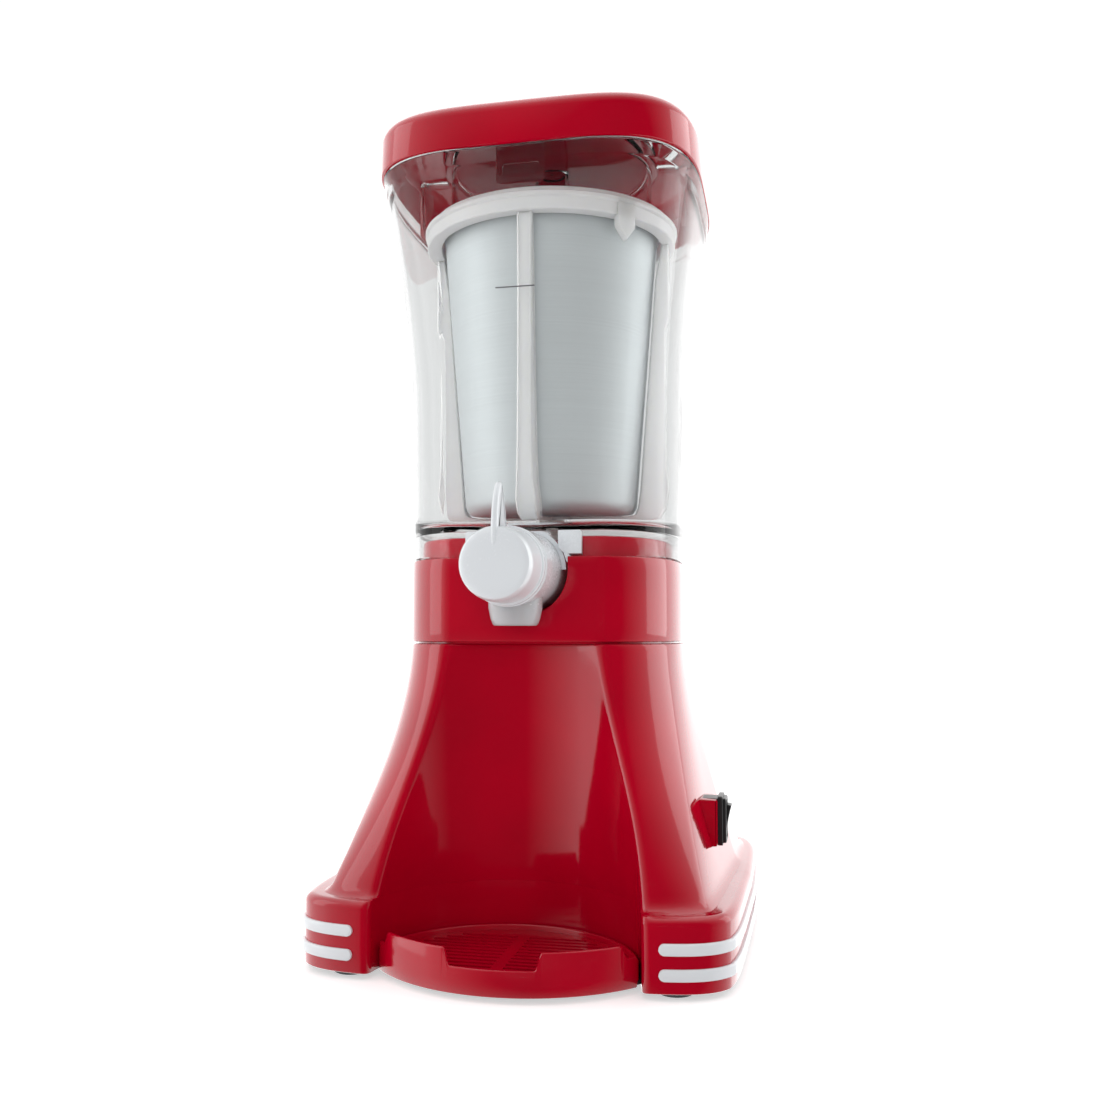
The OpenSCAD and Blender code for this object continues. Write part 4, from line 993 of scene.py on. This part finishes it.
class SLUSH_OT_mixer(bpy.types.Operator):
    """Milky mixing frame: a stepped ring, four grooved arms, a hub and two pointed tabs"""

    bl_idname = "slush.mixer"
    bl_label = "Mixing Frame"

    def execute(self, context):
        low, high = box_mm("mixing_frame")
        foot, top = low[2], high[2]
        ring = top - 13.0
        bm = bmesh.new()
        add_lathe(bm, [(65.8, ring + 0.6), (66.4, ring), (73.0, ring), (73.6, ring + 0.6),
                       (73.6, ring + 6.6), (74.3, ring + 7.0), (74.8, ring + 7.5), (74.8, ring + 9.4), (74.3, ring + 9.9),
                       (72.2, ring + 10.2), (71.8, ring + 10.8), (71.8, top - 0.6), (71.2, top),
                       (67.2, top), (66.6, top - 0.6), (66.4, ring + 7.2)], steps=168)
        add_lathe(bm, [(4.05, foot), (11.6, foot), (12.0, foot + 0.4), (12.0, foot + 4.0),
                       (11.4, foot + 4.6), (4.05, foot + 4.6)], steps=64)
        for k in range(4):
            notch = 0.0 if k % 2 == 0 else 2.5
            self.arm(bm, math.radians(270 + 90 * k), notch, foot, ring)
        for degrees in (315.0, 135.0):
            self.tab(bm, math.radians(degrees), ring)
        finish_piece("mixing_cage", bm, "mixer", "milky_plastic",
                     ["mixing_frame"], sharp=38)
        return {"FINISHED"}

    def arm(self, bm, angle, notch, foot, ring):
        """One arm: along the floor, up beside the canister and into the ring."""
        def can(z):
            return mix(CAN_FOOT, CAN_MOUTH, (z - CAN_LOW[2]) / (CAN_HIGH[2] - 1.2 - CAN_LOW[2])) + 1.2

        outer_r, soft = 70.4, 0.9
        outer = [(11.0, foot), (40.0, foot), (58.0, foot + 0.2), (63.5, foot + 5.0), (66.5, foot + 11.0),
                 (outer_r - 1.2, foot + 22.0), (outer_r - notch, foot + 37.0), (outer_r - notch, 300.0),
                 (outer_r - notch, 340.0), (outer_r, 347.0), (outer_r, 370.0), (outer_r, ring + 1.0)]
        inner = [(11.0, foot + 4.6), (36.0, foot + 4.6), (45.0, foot + 4.8), (49.5, foot + 7.5),
                 (51.2, foot + 12.0), (can(246.0), 246.0), (can(262.0), 262.0), (can(300.0), 300.0),
                 (can(340.0), 340.0), (can(347.0), 347.0), (can(370.0), 370.0), (66.2, ring + 1.0)]
        half = [3.5, 3.6, 4.4, 5.4, 5.6, 4.6, 4.0, 3.8, 3.8, 3.8, 3.9, 4.2]
        cos, sin = math.cos(angle), math.sin(angle)
        rings = []
        for (ro, zo), (ri, zi), w in zip(outer, inner, half):
            section = []
            length = math.hypot(ro - ri, zo - zi)
            for side, depth in ((-1, 0.0), (-1, 1.0), (1, 1.0), (1, 0.0)):
                r, z = (ri, zi) if depth else (ro, zo)
                toward = soft if depth else -soft
                dr, dz = (ro - ri) / length * toward, (zo - zi) / length * toward
                corner = [(w * side, r + dr, z + dz), ((w - soft) * side, r, z)]
                section += corner[::-1] if (side < 0) == bool(depth) else corner
            rings.append(np.array([(r * cos - s * sin, r * sin + s * cos, z) for s, r, z in section]))
        add_loft(bm, rings)

    def tab(self, bm, angle, ring):
        """Pointed tab on the ring's outside."""
        out = 74.3
        shape = np.array([(-5.6, ring + 9.4), (-5.6, ring - 6.0), (0.0, ring - 13.0), (5.6, ring - 6.0),
                          (5.6, ring + 9.4)])
        soft = bmesh.new()
        add_prism(soft, shape, 70.2, out, axis="x", soft=0.5)
        cos, sin = math.cos(angle), math.sin(angle)
        place = {}
        for v in soft.verts:
            x, y = v.co.x, v.co.y - DRIVE * MM
            place[v] = bm.verts.new((x * cos - y * sin, x * sin + y * cos + DRIVE * MM, v.co.z))
        for f in soft.faces:
            bm.faces.new([place[v] for v in f.verts])
        soft.free()


class SLUSH_OT_tap(bpy.types.Operator):
    """White tap: barrel with its inlet, spout, bracket, knob and lever"""

    bl_idname = "slush.tap"
    bl_label = "Tap"

    def execute(self, context):
        rear, front = BARREL_REAR, KNOB_REAR + 0.6
        bm = bmesh.new()
        add_lathe(bm, [(15.96, front + 0.3), (16.3, front), (BARREL - 0.6, front), (BARREL, front + 0.6),
                       (BARREL, rear - 0.8), (BARREL - 0.8, rear), (0.01, rear), (0.01, rear - 3.0),
                       (15.96, rear - 3.0)], centre=(0.0, TAP_Z), axis="y", steps=112)
        add_lathe(bm, [(9.0, TAP_Z + 17.0), (9.0, 218.2), (8.6, 218.6), (6.5, 218.6), (6.5, 211.1),
                       (4.6, 211.0), (4.6, TAP_Z + 17.0)], centre=NOZZLE, steps=56)
        finish_piece("tap_barrel", bm, "tank_assembly", "tap_white", ["tap_body"])

        base = SPOUT_FOOT
        spout_y = -87.4
        bm = bmesh.new()
        outside = [(13.7, TAP_Z - 14.0), (13.6, TAP_Z - 20.0), (13.2, base + 7.0), (12.5, base + 3.6),
                   (11.6, base + 1.2), (11.0, base + 0.3), (10.5, base)]
        inside = [(9.9, base + 0.15), (10.2, base + 1.8), (11.2, base + 4.2), (11.8, base + 7.2),
                  (12.0, TAP_Z - 20.0), (12.0, TAP_Z - 14.0)]
        add_lathe(bm, outside + inside, centre=(0.0, spout_y), steps=88)
        finish_piece("tap_spout", bm, "tank_assembly", "tap_white", finish="spout")

        low, high = box_mm("tap_bracket")
        y0, y1 = low[1] - DRIVE, high[1] - DRIVE
        top = high[2]
        bm = bmesh.new()
        arch = circle((0.0, TAP_Z), BARREL + 0.1, 0.0, math.pi, 41)
        outer = circle((0.0, TAP_Z), BARREL + 2.4, math.pi, 0.0, 41)
        outer[:, 1] = np.minimum(outer[:, 1], FLOOR - 3.3)
        arch[:, 1] = np.minimum(arch[:, 1], FLOOR - 3.8)
        add_prism(bm, np.vstack([arch, outer]), y0, y1, axis="y")
        for side in (-1.0, 1.0):
            ear = [(18.6, top), (30.2, top), (31.0, top - 0.8), (31.0, 207.0), (24.2, 207.0),
                   (27.0, 203.4), (24.6, 201.6), (22.9, 203.2), (21.6, 207.4), (18.6, 210.6)]
            add_prism(bm, [(side * x, z) for x, z in ear], y0 - 2.2, y1, axis="y", soft=0.4)
        finish_piece("tap_ears", bm, "tank_assembly", "tap_white", ["tap_bracket"])

        wide, narrow, rear, face = KNOB_BACK_R, KNOB_BACK_R - 2.0, KNOB_REAR, KNOB_FACE
        bm = bmesh.new()
        add_lathe(bm, [(0.01, rear - 0.05), (wide - 0.5, rear - 0.05), (wide, rear - 0.6),
                       (wide, rear - 2.7), (wide - 0.5, rear - 3.3), (wide - 1.0, rear - 3.5),
                       (narrow + 0.8, rear - 4.2), (narrow + 0.5, face + 6.0), (narrow, face + 2.6),
                       (narrow - 0.7, face + 1.2), (narrow - 1.8, face + 0.5), (narrow - 3.6, face + 0.2),
                       (8.0, face + 0.03), (0.01, face)],
                  loop=False, centre=(0.0, TAP_Z), axis="y", steps=128)
        finish_piece("knob_cap", bm, "tap_valve", "tap_white", ["tap_knob"], sharp=28)

        rise = box_mm("tap_lever")[1][2] - TAP_Z
        blade = [(face + 0.3, 6.5), (face - 0.15, 9.5), (face - 0.3, 14.0), (face + 0.1, 19.6),
                 (face + 1.2, 26.2), (face + 3.0, 32.0), (face + 5.4, rise - 3.4), (face + 7.6, rise - 0.8),
                 (face + 9.2, rise), (face + 10.8, rise - 0.8), (face + 12.8, rise - 3.8),
                 (face + 15.4, 31.6), (face + 17.6, 25.8), (face + 18.8, 21.0),
                 (face + 19.2, 16.5), (face + 12.0, 9.6)]
        bm = bmesh.new()
        points = np.array([(y, TAP_Z + z) for y, z in blade])
        points = anticlockwise(even(np.vstack([points, points[:1]]), 97)[:-1])
        thick = [(2.6, 1.75), (1.2, 1.6), (0.4, 1.2), (0.0, 0.5)]
        slices = [(inset, -x) for inset, x in thick] + thick[::-1]
        add_loft(bm, [ring[:, (2, 0, 1)] for ring in stack(points, slices)])
        finish_piece("lever_blade", bm, "tap_valve", "tap_white", ["tap_lever"], sharp=50)
        return {"FINISHED"}


class SLUSH_OT_tray(bpy.types.Operator):
    """Red drip tray with a raised front wall on each side"""

    bl_idname = "slush.tray"
    bl_label = "Drip Tray"

    def execute(self, context):
        reach = DRIVE - box_mm("drip_tray")[0][1]
        back_r, front_r = 64.8, 85.0
        back_y, front_y = BAY_BOTTOM, front_r - reach
        tip_y = ((back_r ** 2 - front_r ** 2) - (back_y ** 2 - front_y ** 2)) / (2 * (front_y - back_y))
        tip_x = math.sqrt(back_r ** 2 - (tip_y - back_y) ** 2)
        a = math.atan2(tip_y - front_y, tip_x)
        front = circle((0.0, front_y), front_r, -math.pi - a, a, 321)
        b = math.atan2(tip_y - back_y, tip_x)
        back = circle((0.0, back_y), back_r, b, math.pi - b, 201)
        front, back = trimmed(front, 1.2, 1.2), trimmed(back, 1.2, 1.2)
        tips = np.array([(tip_x, tip_y), (-tip_x, tip_y)])
        front, back = even(front, 260), even(back, 120)
        points = np.vstack([front, bend(front[-1], tips[0], back[0], 4), back,
                            bend(back[-1], tips[1], front[0], 4)])
        x = np.abs(front[:, 0])
        ears = 15.0 + 8.0 * smooth((x - 20.2) / 3.4) - 6.0 * smooth((x - 56.5) / 3.0)
        pad = len(points) - len(front)
        top = np.concatenate([ears, np.full(pad, 15.0)])
        top[260:264] = np.linspace(ears[-1], 15.0, 6)[1:-1]
        top[-4:] = np.linspace(15.0, ears[0], 6)[1:-1]
        under = np.concatenate([np.full(260, PLINTH_BOTTOM), np.full(pad, 5.6)])
        floor = box_mm("drip_grid")[0][2]
        rings = stack(points, [
            (2.2, 5.6), (2.2, under + 0.02), (0.5, under), (0.0, under + 0.6), (0.0, 9.0), (0.0, top - 0.8),
            (0.3, top - 0.22), (0.8, top), (1.4, top), (1.9, top - 0.22), (2.2, top - 0.8),
            (2.2, floor + 1.2), (2.6, floor + 0.4), (3.6, floor)])
        bm = bmesh.new()
        add_loft(bm, rings)
        finish_piece("tray_dish", bm, "tray", "tray_red", ["drip_tray"], sharp=40)
        return {"FINISHED"}


class SLUSH_OT_inner(bpy.types.Operator):
    """Finishes for the drive, screws, gears and the other plain pieces"""

    bl_idname = "slush.inner"
    bl_label = "Drive And Fixings"

    def execute(self, context):
        slots = {s["node"]: s["material_slot"] for s in frame["record"]["subparts"]}
        for name, node in frame["nodes"].items():
            if node.hide_render:
                continue
            material = MATERIALS[slots[name]]
            if node.material_slots:
                for place in node.material_slots:
                    place.material = material
            else:
                node.data.materials.append(material)
            if name in ("drip_grid", "cord_bush", "base_plate", "tap_nut", "gearbox_case", "gearbox_cover"):
                ease = node.modifiers.new("eased edges", "BEVEL")
                ease.width = 0.0004
                ease.segments = 2
                ease.limit_method = "ANGLE"
                ease.angle_limit = math.radians(50)
        return {"FINISHED"}


# ---------- stage ----------


def softbox(name, place, target, size, power):
    """Area light aimed at a target."""
    light = bpy.data.lights.new(name, "AREA")
    light.shape = "RECTANGLE"
    light.size, light.size_y = size
    light.energy = power
    lamp = bpy.data.objects.new(name, light)
    bpy.context.scene.collection.objects.link(lamp)
    lamp.location = place
    lamp.rotation_euler = (Vector(target) - Vector(place)).to_track_quat("-Z", "Y").to_euler()
    return lamp


def either(tree, chooser, off, on):
    """Value of the first source where the chooser is 0 and of the second where it is 1."""
    node = tree.nodes.new("ShaderNodeMix")
    tree.links.new(chooser, node.inputs[0])
    feed(tree, node.inputs[2], off)
    feed(tree, node.inputs[3], on)
    return node.outputs[0]


class SLUSH_OT_stage(bpy.types.Operator):
    """Pale floor, soft studio lights and the camera"""

    bl_idname = "slush.stage"
    bl_label = "Stage"

    def execute(self, context):
        scene = context.scene
        bm = bmesh.new()
        add_lathe(bm, [(0.01, 0.0), (400.0, 0.0), (3000.0, 0.0), (12000.0, 0.0), (12000.0, -20.0),
                       (0.01, -20.0)], loop=False, steps=96)
        mesh = bpy.data.meshes.new("floor")
        bmesh.ops.recalc_face_normals(bm, faces=bm.faces[:])
        bm.to_mesh(mesh)
        bm.free()
        floor = bpy.data.objects.new("floor", mesh)
        scene.collection.objects.link(floor)
        material, tree, shader = new_material("Pale Floor")
        settle(shader, Base_Color=grey(0.88), Roughness=0.5, Specular_IOR_Level=0.2,
               Emission_Color=grey(1.0))
        seen = tree.nodes.new("ShaderNodeLightPath")
        tree.links.new(sums(tree, "MULTIPLY", seen.outputs["Is Camera Ray"], 0.5),
                       shader.inputs["Emission Strength"])
        mesh.materials.append(material)
        floor.visible_glossy = False

        softbox("left panel", (-1.6, -0.5, 0.7), (0, 0, 0.2), (0.9, 1.6), 6.5)
        softbox("right panel", (1.7, 0.9, 0.7), (0, 0, 0.2), (1.4, 1.6), 12)
        softbox("top panel", (0.0, 0.3, 2.0), (0, 0, 0.2), (2.2, 2.0), 6)
        fill = softbox("front fill", (0.2, -2.6, 1.0), (0, 0, 0.2), (2.2, 1.8), 7)
        fill.visible_glossy = fill.visible_transmission = False
        low_fill = softbox("low fill", (0.25, -1.5, 0.1), (0, 0, 0.42), (1.2, 0.16), 1.2)
        low_fill.visible_glossy = low_fill.visible_transmission = False

        world = bpy.data.worlds.new("Studio Surround")
        world.use_nodes = True
        scene.world = world
        tree = world.node_tree
        back = tree.nodes["Background"]
        place = tree.nodes.new("ShaderNodeTexCoord")
        towards = []
        for direction in ((0.4, -0.917, 0.0), (-1.0, 0.0, 0.0)):
            node = tree.nodes.new("ShaderNodeVectorMath")
            node.operation = "DOT_PRODUCT"
            node.inputs[1].default_value = direction
            tree.links.new(place.outputs["Generated"], node.inputs[0])
            towards.append(node.outputs["Value"])
        ramp = spread(tree, towards[0], 0.05, 0.8, 1.9, 0.04)
        inside = spread(tree, towards[1], -0.9, 0.9, 0.35, 1.0)
        seen = tree.nodes.new("ShaderNodeLightPath")
        through = sums(tree, "GREATER_THAN", seen.outputs["Transmission Depth"], 0.5)
        shine = either(tree, seen.outputs["Is Glossy Ray"], 0.62, ramp)
        shine = either(tree, through, shine, inside)
        shine = either(tree, seen.outputs["Is Camera Ray"], shine, 1.05)
        tree.links.new(shine, back.inputs["Strength"])
        back.inputs["Color"].default_value = (1.0, 1.0, 1.0, 1)

        camera = bpy.data.cameras.new("camera")
        camera.sensor_width = 36.0
        camera.lens = 36.05
        camera.clip_start, camera.clip_end = 0.02, 60.0
        eye = bpy.data.objects.new("camera", camera)
        scene.collection.objects.link(eye)
        eye.location = (0.13488, -0.61542, 0.16597)
        eye.rotation_euler = (math.radians(94.35), 0.0, math.radians(12.29))
        scene.camera = eye
        scene.view_settings.view_transform = "Standard"
        return {"FINISHED"}


PIECES = (
    SLUSH_OT_plinth, SLUSH_OT_column, SLUSH_OT_neck, SLUSH_OT_stripes, SLUSH_OT_feet,
    SLUSH_OT_switch, SLUSH_OT_tank, SLUSH_OT_lid, SLUSH_OT_insert, SLUSH_OT_canister,
    SLUSH_OT_mixer, SLUSH_OT_tap, SLUSH_OT_tray, SLUSH_OT_inner, SLUSH_OT_stage,
)


class SLUSH_PT_panel(bpy.types.Panel):
    """Sidebar panel that lists the machine's pieces"""

    bl_idname = "SLUSH_PT_panel"
    bl_label = "Slush Machine"
    bl_space_type = "VIEW_3D"
    bl_region_type = "UI"
    bl_category = "Slush Machine"

    def draw(self, context):
        column = self.layout.column(align=True)
        for holder in (context.scene.slush_looks, context.scene.slush_sizes):
            for name in holder.__annotations__:
                column.prop(holder, name)
        for piece in PIECES:
            column.operator(piece.bl_idname)


CLASSES = (SlushLooks, SlushSizes, *PIECES, SLUSH_PT_panel)


def register():
    for item in CLASSES:
        bpy.utils.register_class(item)
    bpy.types.Scene.slush_looks = PointerProperty(type=SlushLooks)
    bpy.types.Scene.slush_sizes = PointerProperty(type=SlushSizes)


def unregister():
    del bpy.types.Scene.slush_sizes
    del bpy.types.Scene.slush_looks
    for item in reversed(CLASSES):
        bpy.utils.unregister_class(item)


def main():
    """Builds the machine."""
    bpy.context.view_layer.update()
    register()
    make_materials(bpy.context.scene.slush_looks)
    bpy.ops.slush.plinth()
    bpy.ops.slush.column()
    bpy.ops.slush.neck()
    bpy.ops.slush.stripes()
    bpy.ops.slush.feet()
    bpy.ops.slush.switch()
    bpy.ops.slush.tank()
    bpy.ops.slush.lid()
    bpy.ops.slush.insert()
    bpy.ops.slush.canister()
    bpy.ops.slush.mixer()
    bpy.ops.slush.tap()
    bpy.ops.slush.tray()
    bpy.ops.slush.inner()
    bpy.ops.slush.stage()


if __name__ == "__main__":
    main()
